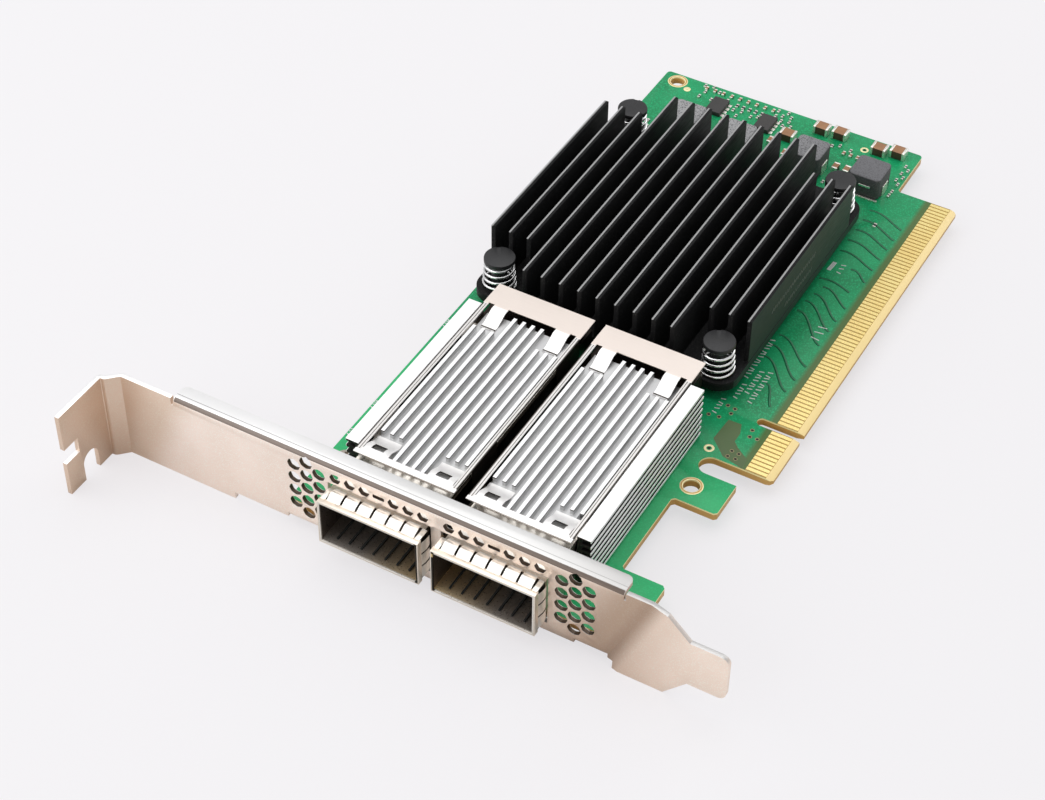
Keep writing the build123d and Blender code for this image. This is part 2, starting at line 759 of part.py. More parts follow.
# Coil springs between the heat sink's base and the caps of the pins
with BuildPart() as pin_springs:
    coil_low = sink_base_top + spring_seat + spring_wire / 2
    coil_height = cap_low - sink_base_top - spring_wire - 2 * spring_seat
    segments = spring_turn_count * spring_sides
    for pin_x, pin_y in pin_places:
        corners = []
        for step in range(segments + 1):
            climb = step / segments
            turn = 2 * pi * step / spring_sides
            coil_radius = (spring_low + climb * (spring_high - spring_low) - spring_wire) / 2
            corners.append(
                (
                    pin_x + coil_radius * cos(turn),
                    pin_y + coil_radius * sin(turn),
                    coil_low + climb * coil_height,
                )
            )
        with BuildLine() as coil:
            Polyline(*corners)
        with BuildSketch(Plane(origin=corners[0], x_dir=(1, 0, 0), z_dir=coil.line % 0)):
            Rectangle(spring_wire, spring_wire)
        sweep(transition=Transition.RIGHT)
pin_springs.part.label = "pin_springs"
export_step(pin_springs.part, "parts/pin_springs.step")

# Moulded inductors and their folded terminals
with BuildPart() as power_inductors:
    with BuildSketch(Plane.XY.offset(inductor_lift)):
        with Locations(rear_corner):
            with Locations(*inductor_places):
                Rectangle(inductor_size, inductor_size)
    extrude(amount=inductor_high)
    chamfer(power_inductors.edges().filter_by(Axis.Z), length=inductor_corner)
power_inductors.part.label = "power_inductors"
export_step(power_inductors.part, "parts/power_inductors.step")

with BuildPart() as inductor_terminals:
    for place_x, place_y in inductor_places:
        for direction in (-1, 1):
            wall_x = rear_corner[0] + place_x + direction * inductor_size / 2
            with BuildSketch(Plane.XZ.offset(-rear_corner[1] - place_y - terminal_width / 2)):
                with BuildLine():
                    Polyline(
                        (wall_x - direction * terminal_foot, 0),
                        (wall_x + direction * inductor_lift, 0),
                        (wall_x + direction * inductor_lift, inductor_high / 2),
                        (wall_x, inductor_high / 2),
                        (wall_x, inductor_lift),
                        (wall_x - direction * terminal_foot, inductor_lift),
                        close=True,
                    )
                make_face()
            extrude(amount=terminal_width)
inductor_terminals.part.label = "inductor_terminals"
export_step(inductor_terminals.part, "parts/inductor_terminals.step")

# Power switches
with BuildPart() as power_switches:
    with BuildSketch(Plane.XY):
        with Locations(rear_corner):
            with Locations(*switch_places):
                Rectangle(*switch_size)
    extrude(amount=switch_high)
power_switches.part.label = "power_switches"
export_step(power_switches.part, "parts/power_switches.step")

# Ceramic capacitors and chip resistors on the component side
with BuildPart() as large_capacitors:
    with BuildSketch(Plane.XY):
        with Locations(rear_corner):
            with Locations(*large_cap_places):
                Rectangle(*large_cap)
    extrude(amount=large_cap_high)
    with BuildSketch(Plane.XY):
        with Locations(rear_corner):
            with Locations(*medium_cap_places):
                Rectangle(*medium_cap)
    extrude(amount=medium_cap_high)
large_capacitors.part.label = "large_capacitors"
export_step(large_capacitors.part, "parts/large_capacitors.step")

with BuildPart() as small_capacitors:
    with BuildSketch(Plane.XY):
        with Locations(rear_corner):
            for row_x, row_y, count, pitch in chip_rows:
                for place in range(count):
                    with Locations((row_x + place * pitch, row_y)):
                        Rectangle(*chip_size)
    extrude(amount=chip_high)
small_capacitors.part.label = "small_capacitors"
export_step(small_capacitors.part, "parts/small_capacitors.step")

with BuildPart() as chip_resistors:
    with BuildSketch(Plane.XY):
        with Locations(rear_corner):
            for row_x, row_y, count, pitch in resistor_rows:
                for place in range(count):
                    with Locations((row_x + place * pitch, row_y)):
                        Rectangle(*chip_size)
        edge_strip_x = (port_left_x - cage_half - board_depth) / 2
        with Locations((edge_strip_x, cage_rear - edge_resistor_inset)):
            with GridLocations(edge_resistor_pitch, edge_resistor_pitch, 1, edge_resistor_count):
                Rectangle(*chip_size)
    extrude(amount=resistor_high)
chip_resistors.part.label = "chip_resistors"
export_step(chip_resistors.part, "parts/chip_resistors.step")

# Solder side: memory chip with its leads, crystal and decoupling capacitors under the controller
with BuildPart() as flash_memory:
    with BuildSketch(board_bottom.offset(-lead_thick / 2)):
        with Locations(rear_corner):
            with Locations(flash_place):
                Rectangle(*flash_size)
    extrude(amount=-flash_high)
    with BuildSketch(board_bottom):
        with Locations(rear_corner):
            with Locations(flash_place):
                with GridLocations(lead_span, lead_pitch, 1, lead_count):
                    Rectangle(lead_span, lead_width)
    extrude(amount=-lead_thick)
flash_memory.part.label = "flash_memory"
export_step(flash_memory.part, "parts/flash_memory.step")

with BuildPart() as crystal:
    with BuildSketch(board_bottom):
        with Locations(rear_corner):
            with Locations(crystal_place):
                Rectangle(*crystal_size)
    extrude(amount=-crystal_high)
crystal.part.label = "crystal"
export_step(crystal.part, "parts/crystal.step")

with BuildPart() as decoupling_capacitors:
    with BuildSketch(board_bottom):
        with Locations((sink_x, sink_y)):
            with GridLocations(decoupling_pitch, decoupling_pitch, decoupling_count, decoupling_count):
                Rectangle(*chip_size)
    extrude(amount=-chip_high)
decoupling_capacitors.part.label = "decoupling_capacitors"
export_step(decoupling_capacitors.part, "parts/decoupling_capacitors.step")
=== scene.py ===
import math
import bmesh
import bpy
from mathutils import Matrix, Vector


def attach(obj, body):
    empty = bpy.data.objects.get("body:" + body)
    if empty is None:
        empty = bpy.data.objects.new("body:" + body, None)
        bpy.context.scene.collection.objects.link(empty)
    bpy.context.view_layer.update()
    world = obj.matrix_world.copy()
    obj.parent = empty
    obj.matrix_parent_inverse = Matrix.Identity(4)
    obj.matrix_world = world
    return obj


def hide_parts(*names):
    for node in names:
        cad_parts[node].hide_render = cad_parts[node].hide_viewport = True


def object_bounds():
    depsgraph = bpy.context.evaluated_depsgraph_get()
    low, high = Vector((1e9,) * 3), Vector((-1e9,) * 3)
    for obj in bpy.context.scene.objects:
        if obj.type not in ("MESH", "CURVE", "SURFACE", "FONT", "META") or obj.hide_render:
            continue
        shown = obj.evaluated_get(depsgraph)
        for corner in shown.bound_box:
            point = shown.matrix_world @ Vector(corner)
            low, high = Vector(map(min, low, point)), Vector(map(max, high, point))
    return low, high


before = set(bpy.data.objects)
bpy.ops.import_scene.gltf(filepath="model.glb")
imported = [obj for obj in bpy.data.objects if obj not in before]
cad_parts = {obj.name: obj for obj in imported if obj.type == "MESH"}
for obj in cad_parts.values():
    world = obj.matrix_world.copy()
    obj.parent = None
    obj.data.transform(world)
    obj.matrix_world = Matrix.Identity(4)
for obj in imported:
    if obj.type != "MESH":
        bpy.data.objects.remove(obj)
cadLow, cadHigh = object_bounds()
mm = 0.001
mergeWithin = 0.002 * mm


def deselectAll():
    if bpy.context.object and bpy.context.object.mode != "OBJECT":
        bpy.ops.object.mode_set(mode="OBJECT")
    bpy.ops.object.select_all(action="DESELECT")


def activate(piece):
    deselectAll()
    piece.select_set(True)
    bpy.context.view_layer.objects.active = piece


def nameNew(name):
    piece = bpy.context.object
    piece.name = name
    piece.data.name = name
    return piece


def applyPlace(piece):
    activate(piece)
    bpy.ops.object.transform_apply(location=True, rotation=True, scale=True)


def smoothByAngle(piece, angle=35):
    activate(piece)
    bpy.ops.object.shade_smooth_by_angle(angle=math.radians(angle))


def roundEdges(piece, width, segments=2, angle=40):
    activate(piece)
    bevel = piece.modifiers.new("edges", "BEVEL")
    bevel.width = width * mm
    bevel.segments = segments
    bevel.limit_method = "ANGLE"
    bevel.angle_limit = math.radians(angle)
    bpy.ops.object.modifier_apply(modifier=bevel.name)
    smoothByAngle(piece)


def selectEdges(piece, test):
    mesh = bmesh.from_edit_mesh(piece.data)
    for part in (*mesh.verts, *mesh.edges, *mesh.faces):
        part.select = False
    for edge in mesh.edges:
        if test(*(v.co / mm for v in edge.verts)):
            edge.select_set(True)
    bmesh.update_edit_mesh(piece.data)


def addBlock(name, centre, size):  # a block, in millimetres, edges still sharp
    deselectAll()
    bpy.ops.mesh.primitive_cube_add(size=1, location=[c * mm for c in centre])
    piece = nameNew(name)
    piece.scale = [s * mm for s in size]
    applyPlace(piece)
    return piece


def inRow(middle, count, pitch):  # places in a row about a middle
    return [middle + (place - (count - 1) / 2) * pitch for place in range(count)]


def cutOut(piece, centre, size):  # takes the shape of a block out of a piece
    cutter = addBlock("cutter", centre, size)
    activate(piece)
    cut = piece.modifiers.new("cut", "BOOLEAN")
    cut.object = cutter
    cut.operation = "DIFFERENCE"
    bpy.ops.object.modifier_apply(modifier=cut.name)
    bpy.data.objects.remove(cutter)


def copyPiece(piece, name, offset, turn=0.0):  # turned about the Z axis, then moved
    copied = piece.copy()
    copied.data = piece.data.copy()
    copied.name = name
    copied.data.name = name
    copied.data.transform(Matrix.Translation(Vector(offset) * mm) @ Matrix.Rotation(turn, 4, "Z"))
    bpy.context.scene.collection.objects.link(copied)
    return copied


def joinPieces(name, pieces):
    deselectAll()
    for piece in pieces:
        piece.select_set(True)
    bpy.context.view_layer.objects.active = pieces[0]
    if len(pieces) > 1:
        bpy.ops.object.join()
    return nameNew(name)


def setOut(name, piece, places, turns=None):  # a copy at each place, joined, the pattern dropped
    turns = turns or [0.0] * len(places)
    copies = [copyPiece(piece, name, (*place, 0), turn) for place, turn in zip(places, turns)]
    bpy.data.objects.remove(piece)
    return joinPieces(name, copies)


def drawProfile(name, points):  # a chain of edges in the XZ plane, drawn point by point
    deselectAll()
    bpy.ops.mesh.primitive_plane_add(size=mm, location=(points[0][0] * mm, 0, points[0][1] * mm))
    piece = nameNew(name)
    applyPlace(piece)
    bpy.ops.object.mode_set(mode="EDIT")
    bpy.ops.mesh.select_mode(type="VERT")
    bpy.ops.mesh.select_all(action="SELECT")
    bpy.ops.mesh.merge(type="CENTER")
    for (x0, z0), (x1, z1) in zip(points, points[1:]):
        move = ((x1 - x0) * mm, 0, (z1 - z0) * mm)
        bpy.ops.mesh.extrude_region_move(TRANSFORM_OT_translate={"value": move})
    bpy.ops.object.mode_set(mode="OBJECT")
    return piece


def turnProfile(piece, steps, rise=0.0, turns=1):  # sweeps the profile round the Z axis
    activate(piece)
    screw = piece.modifiers.new("turned", "SCREW")
    screw.axis = "Z"
    screw.angle = math.radians(360)
    screw.steps = screw.render_steps = steps
    screw.screw_offset = rise * mm
    screw.iterations = turns
    screw.use_merge_vertices = rise == 0.0
    screw.merge_threshold = 0.00001
    bpy.ops.object.modifier_apply(modifier=screw.name)
    bpy.ops.object.mode_set(mode="EDIT")
    bpy.ops.mesh.select_all(action="SELECT")
    bpy.ops.mesh.remove_doubles(threshold=mergeWithin)
    if rise:
        bpy.ops.mesh.fill_holes(sides=0)
    bpy.ops.mesh.normals_make_consistent(inside=False)
    bpy.ops.object.mode_set(mode="OBJECT")
    return piece


def drawRibbons(name, lines, width, height, level):  # flat strips along lines of (x, y) points
    deselectAll()
    curve = bpy.data.curves.new(name, "CURVE")
    curve.dimensions = "3D"
    curve.bevel_depth = width / 2 * mm
    curve.bevel_resolution = 0
    curve.use_fill_caps = True
    for line in lines:
        spline = curve.splines.new("POLY")
        spline.points.add(len(line) - 1)
        for point, (x, y) in zip(spline.points, line):
            point.co = (x * mm, y * mm, 0, 1)
    piece = bpy.data.objects.new(name, curve)
    bpy.context.scene.collection.objects.link(piece)
    activate(piece)
    bpy.ops.object.convert(target="MESH")
    piece = nameNew(name)
    piece.scale = (1, 1, height / width)
    piece.location = (0, 0, level * mm)
    applyPlace(piece)
    return piece


def dressNode(nodeName, width=0.08, segments=2, angle=40, shape=None):
    deselectAll()
    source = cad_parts[nodeName]
    piece = bpy.data.objects.new(nodeName + "_piece", source.data.copy())
    bpy.context.scene.collection.objects.link(piece)
    piece.data.materials.clear()
    activate(piece)
    bpy.ops.object.mode_set(mode="EDIT")
    bpy.ops.mesh.select_all(action="SELECT")
    bpy.ops.mesh.remove_doubles(threshold=mergeWithin)
    bpy.ops.mesh.dissolve_limited(angle_limit=math.radians(0.5))
    if shape:
        shape(piece)
    bpy.ops.object.mode_set(mode="OBJECT")
    if piece.data.has_custom_normals:
        bpy.ops.mesh.customdata_custom_splitnormals_clear()
    if width:
        roundEdges(piece, width, segments, angle)
    else:
        smoothByAngle(piece)
    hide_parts(nodeName)
    return piece


def keepPiece(piece, material):
    piece.data.materials.clear()
    piece.data.materials.append(material)
    for face in piece.data.polygons:
        face.material_index = 0
    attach(piece, "root")
    return piece


# Nodes are added by name, and each value may be a plain one or another node's output
def feed(tree, sockets, values):
    for key, value in values.items():
        if isinstance(value, bpy.types.NodeSocket):
            tree.links.new(value, sockets[key])
        else:
            sockets[key].default_value = value


def addNode(tree, kind, values=None, **settings):
    node = tree.nodes.new(kind)
    for key, value in settings.items():
        setattr(node, key, value)
    feed(tree, node.inputs, values or {})
    return node


def addGroup(tree, group, values):
    return addNode(tree, "ShaderNodeGroup", values, node_tree=group)


def calc(tree, operation, first, second=0.0):
    return addNode(tree, "ShaderNodeMath", {0: first, 1: second}, operation=operation).outputs[0]


def above(tree, value, limit):
    return calc(tree, "GREATER_THAN", value, limit)


def below(tree, value, limit):
    return calc(tree, "LESS_THAN", value, limit)


def times(tree, first, *others):  # the overlap of several masks
    for other in others:
        first = calc(tree, "MULTIPLY", first, other)
    return first


def between(tree, value, low, high):  # one where the value lies between two limits
    return times(tree, above(tree, value, low), below(tree, value, high))


def away(tree, value, middle):  # the distance from a middle
    return calc(tree, "ABSOLUTE", calc(tree, "SUBTRACT", value, middle))


def remap(tree, value, low, high, start=0.0, end=1.0):
    return addNode(tree, "ShaderNodeMapRange", {"Value": value, "From Min": low, "From Max": high,
                                                "To Min": start, "To Max": end}).outputs["Result"]


def mixColours(tree, factor, first, second, blend="MIX"):
    first, second = ((*value, 1) if isinstance(value, tuple) and len(value) == 3 else value
                     for value in (first, second))
    return addNode(tree, "ShaderNodeMix", {0: factor, 6: first, 7: second},
                   data_type="RGBA", blend_type=blend).outputs[2]


def inMm(tree, vector):
    return addNode(tree, "ShaderNodeVectorMath", {0: vector, 1: (1000, 1000, 1000)},
                   operation="MULTIPLY").outputs[0]


def splitUp(tree, vector):
    return addNode(tree, "ShaderNodeSeparateXYZ", {0: vector}).outputs


# Shared effects, each a node group with named inputs and outputs
def newGroup(name, inputs, outputs):
    kinds = {"number": "NodeSocketFloat", "vector": "NodeSocketVector", "colour": "NodeSocketColor"}
    group = bpy.data.node_groups.new(name, "ShaderNodeTree")
    for label, (kind, value) in {"Vector": ("vector", (0, 0, 0)), **inputs}.items():
        socket = group.interface.new_socket(name=label, in_out="INPUT", socket_type=kinds[kind])
        socket.default_value = value
    for label, kind in outputs.items():
        group.interface.new_socket(name=label, in_out="OUTPUT", socket_type=kinds[kind])
    return group, group.nodes.new("NodeGroupInput").outputs, group.nodes.new("NodeGroupOutput").inputs


def makeSurface(name, detail, drawn=False):  # a height for the bump and a spread of roughness
    inputs = {"Scale": ("number", 4.0), "Smooth": ("number", 0.3), "Rough": ("number", 0.5)}
    if drawn:  # lines along one axis, as rolled or extruded metal has
        inputs["Stretch"] = ("vector", (1, 0.05, 1))
    group, start, end = newGroup(name, inputs, {"Height": "number", "Roughness": "number"})
    place = inMm(group, start["Vector"])
    if drawn:
        place = addNode(group, "ShaderNodeVectorMath", {0: place, 1: start["Stretch"]},
                        operation="MULTIPLY").outputs[0]
    noise = addNode(group, "ShaderNodeTexNoise",
                    {"Vector": place, "Scale": start["Scale"], "Detail": detail}).outputs["Fac"]
    group.links.new(noise, end["Height"])
    group.links.new(remap(group, noise, 0.3, 0.7, start["Smooth"], start["Rough"]), end["Roughness"])
    return group


def makeDrift():  # slow change between two colours
    group, start, end = newGroup(
        "colourDrift", {"Base": ("colour", (1, 1, 1, 1)), "Shade": ("colour", (0, 0, 0, 1)),
                        "Scale": ("number", 0.1), "Amount": ("number", 0.5)}, {"Colour": "colour"})
    noise = addNode(group, "ShaderNodeTexNoise",
                    {"Vector": inMm(group, start["Vector"]), "Scale": start["Scale"], "Detail": 4.0})
    spread = remap(group, noise.outputs["Fac"], 0.35, 0.65, 0.0, start["Amount"])
    group.links.new(mixColours(group, spread, start["Base"], start["Shade"]), end["Colour"])
    return group


def makeFlecks():  # small sparse flecks over a base colour
    group, start, end = newGroup(
        "smallFlecks", {"Base": ("colour", (1, 1, 1, 1)), "Fleck": ("colour", (0, 0, 0, 1)),
                        "Scale": ("number", 6.0), "Share": ("number", 0.3)},
        {"Colour": "colour", "Mask": "number"})
    cells = addNode(group, "ShaderNodeTexVoronoi",
                    {"Vector": inMm(group, start["Vector"]), "Scale": start["Scale"]})
    tone = addNode(group, "ShaderNodeSeparateColor", {"Color": cells.outputs["Color"]}).outputs[0]
    chosen = below(group, tone, start["Share"])
    group.links.new(mixColours(group, chosen, start["Base"], start["Fleck"]), end["Colour"])
    group.links.new(chosen, end["Mask"])
    return group


grain, brush = makeSurface("fineGrain", 3.0), makeSurface("drawnLines", 2.0, True)
drift, flecks = makeDrift(), makeFlecks()


def makeFinish(name, base, shade, metallic, smooth, rough, scale=4.0, bump=0.3, depth=0.02,
               driftScale=0.12, amount=0.6, stretch=None, fleck=None, fleckScale=None, share=0.2,
               specular=0.5):
    material = bpy.data.materials.new(name)
    material.use_nodes = True
    tree = material.node_tree
    shader = tree.nodes["Principled BSDF"]
    shader.inputs["Metallic"].default_value = metallic
    shader.inputs["Specular IOR Level"].default_value = specular
    place = addNode(tree, "ShaderNodeTexCoord").outputs["Object"]
    colour = addGroup(tree, drift, {"Vector": place, "Base": (*base, 1), "Shade": (*shade, 1),
                                    "Scale": driftScale, "Amount": amount}).outputs["Colour"]
    if fleck:
        colour = addGroup(tree, flecks, {"Vector": place, "Base": colour, "Fleck": (*fleck, 1),
                                         "Scale": fleckScale or scale, "Share": share}).outputs["Colour"]
    spread = {"Vector": place, "Scale": scale, "Smooth": smooth, "Rough": rough}
    if stretch:
        surface = addGroup(tree, brush, {**spread, "Stretch": stretch}).outputs
    else:
        surface = addGroup(tree, grain, spread).outputs
    relief = addNode(tree, "ShaderNodeBump", {"Height": surface["Height"], "Distance": depth * mm,
                                              "Strength": bump})
    feed(tree, shader.inputs, {"Base Color": colour, "Roughness": surface["Roughness"],
                               "Normal": relief.outputs["Normal"]})
    return material


# Plain finishes: base and shade in linear light, metallic, smooth, rough, then what else is set
finishes = {
    "contactGold": ((1.0, 0.81, 0.33), (0.97, 0.70, 0.24), 0.45, 0.24, 0.36, {"scale": 3.0, "bump": 0.03}),
    "bracketSheet": ((1.0, 0.86, 0.77), (0.92, 0.78, 0.68), 0.85, 0.38, 0.52,
                     {"scale": 8.0, "bump": 0.30, "fleck": (1.0, 0.93, 0.85), "share": 0.16}),
    "screwSteel": ((0.62, 0.55, 0.48), (0.45, 0.38, 0.32), 0.95, 0.25, 0.45, {}),
    "cageSheet": ((0.80, 0.76, 0.70), (0.68, 0.62, 0.54), 0.95, 0.26, 0.36, {"scale": 3.0, "bump": 0.08}),
    "fingerSheet": ((0.95, 0.93, 0.88), (0.88, 0.84, 0.78), 0.85, 0.28, 0.38, {"scale": 3.0, "bump": 0.06}),
    "clipSheet": ((0.94, 0.93, 0.92), (0.90, 0.88, 0.86), 0.75, 0.35, 0.5, {"stretch": (0.08, 1, 1)}),
    "finAluminium": ((0.97, 0.97, 0.97), (0.88, 0.88, 0.88), 0.8, 0.35, 0.55,
                     {"scale": 5.0, "stretch": (1, 0.04, 1)}),
    "solderMask": ((0.008, 0.34, 0.125), (0.006, 0.235, 0.083), 0.0, 0.28, 0.42,
                   {"scale": 3.0, "bump": 0.25, "depth": 0.01, "driftScale": 0.09, "amount": 0.9,
                    "fleck": (0.013, 0.42, 0.165), "fleckScale": 5.0, "share": 0.22, "specular": 0.35}),
    "blackFins": ((0.0075, 0.0075, 0.008), (0.010, 0.010, 0.010), 0.0, 0.42, 0.6,
                  {"scale": 5.0, "stretch": (1, 0.06, 1), "driftScale": 0.2, "amount": 0.8,
                   "fleck": (0.020, 0.020, 0.020), "share": 0.10, "specular": 0.12}),
    "connectorBody": ((0.015, 0.015, 0.015), (0.03, 0.03, 0.03), 0.0, 0.4, 0.6, {}),
    "packageLaminate": ((0.03, 0.18, 0.09), (0.02, 0.12, 0.06), 0.0, 0.35, 0.5, {}),
    "lidMetal": ((0.70, 0.70, 0.69), (0.58, 0.58, 0.57), 1.0, 0.28, 0.45, {"scale": 6.0}),
    "padGrey": ((0.42, 0.44, 0.46), (0.36, 0.38, 0.40), 0.0, 0.7, 0.85, {}),
    "pinPlastic": ((0.009, 0.009, 0.010), (0.017, 0.017, 0.018), 0.0, 0.38, 0.55, {"scale": 5.0}),
    "springWire": ((0.92, 0.92, 0.92), (0.75, 0.75, 0.75), 1.0, 0.12, 0.25, {}),
    "tinPlate": ((0.93, 0.91, 0.86), (0.75, 0.70, 0.60), 0.85, 0.2, 0.4, {"driftScale": 0.8}),
    "chipBody": ((0.035, 0.033, 0.032), (0.055, 0.05, 0.048), 0.0, 0.5, 0.7, {"scale": 8.0, "bump": 0.5}),
    "ceramicBody": ((0.40, 0.20, 0.09), (0.28, 0.13, 0.06), 0.0, 0.3, 0.5, {"driftScale": 0.4}),
    "resistorGlaze": ((0.02, 0.02, 0.022), (0.04, 0.04, 0.04), 0.0, 0.2, 0.4, {}),
    "inductorPowder": ((0.065, 0.065, 0.068), (0.050, 0.050, 0.053), 0.0, 0.55, 0.8,
                       {"scale": 5.0, "bump": 0.5, "fleck": (0.09, 0.09, 0.094), "share": 0.3,
                        "depth": 0.04}),
    "viaPlate": ((0.34, 0.30, 0.16), (0.26, 0.22, 0.12), 0.5, 0.4, 0.6, {}),
    "ringPlate": ((0.98, 0.86, 0.52), (0.92, 0.78, 0.42), 0.4, 0.3, 0.5, {}),
    # near-black painted shade, for the small holes and for the ribs deep inside the ports
    "paintedShadeBlack": ((0.006, 0.008, 0.006), (0.012, 0.012, 0.010), 0.0, 0.6, 0.8, {}),
    "buriedTrace": ((0.009, 0.150, 0.060), (0.010, 0.175, 0.072), 0.0, 0.3, 0.45, {}),
    "buriedPatch": ((0.085, 0.145, 0.045), (0.070, 0.125, 0.040), 0.0, 0.3, 0.45, {}),
    "inkWhite": ((0.75, 0.80, 0.76), (0.62, 0.70, 0.64), 0.0, 0.5, 0.7, {"scale": 8.0}),
    "finInk": ((0.20, 0.22, 0.20), (0.12, 0.14, 0.12), 0.0, 0.5, 0.7, {"scale": 8.0}),
}
finishes["sideFins"] = finishes["finAluminium"]
made = {name: makeFinish(name, *values, **others) for name, (*values, others) in finishes.items()}

holes = {
    "rings": [((-66.5, 82.69), 1.5, 2.1), ((-11.6, -20.2), 1.5, 2.1)],
    "dots": [((-13.07, -10.47), 0.5, 0.95), ((-23.5, 81.0), 0.45, 0.85), ((-63.6, 81.2), 0.1, 0.75)],
    "vias": [(-8.4, -2.7), (-8.1, -4.4), (-6.7, -4.3), (-9.3, -9.1), (-9.4, -10.6), (-7.9, -9.2),
             (-7.9, -10.6), (-16.9, -2.9), (-15.0, -2.6), (-14.9, 0.8), (-13.4, 0.6), (-13.5, -0.8),
             (-40.2, 79.6), (-30.0, 79.0), (-31.3, 77.6), (-22.0, 78.6), (-64.8, -22.0), (-64.4, -35.0)],
    "thick": 0.04, "via": (0.26, 0.40), "board": 1.57,
    "hollow": [(0, 0.0), (0.27, 0.0), (0.30, 0.012), (0.24, 0.02), (0, 0.02)],
}
portMiddle, portHalfPitch = -39.25, 10.95


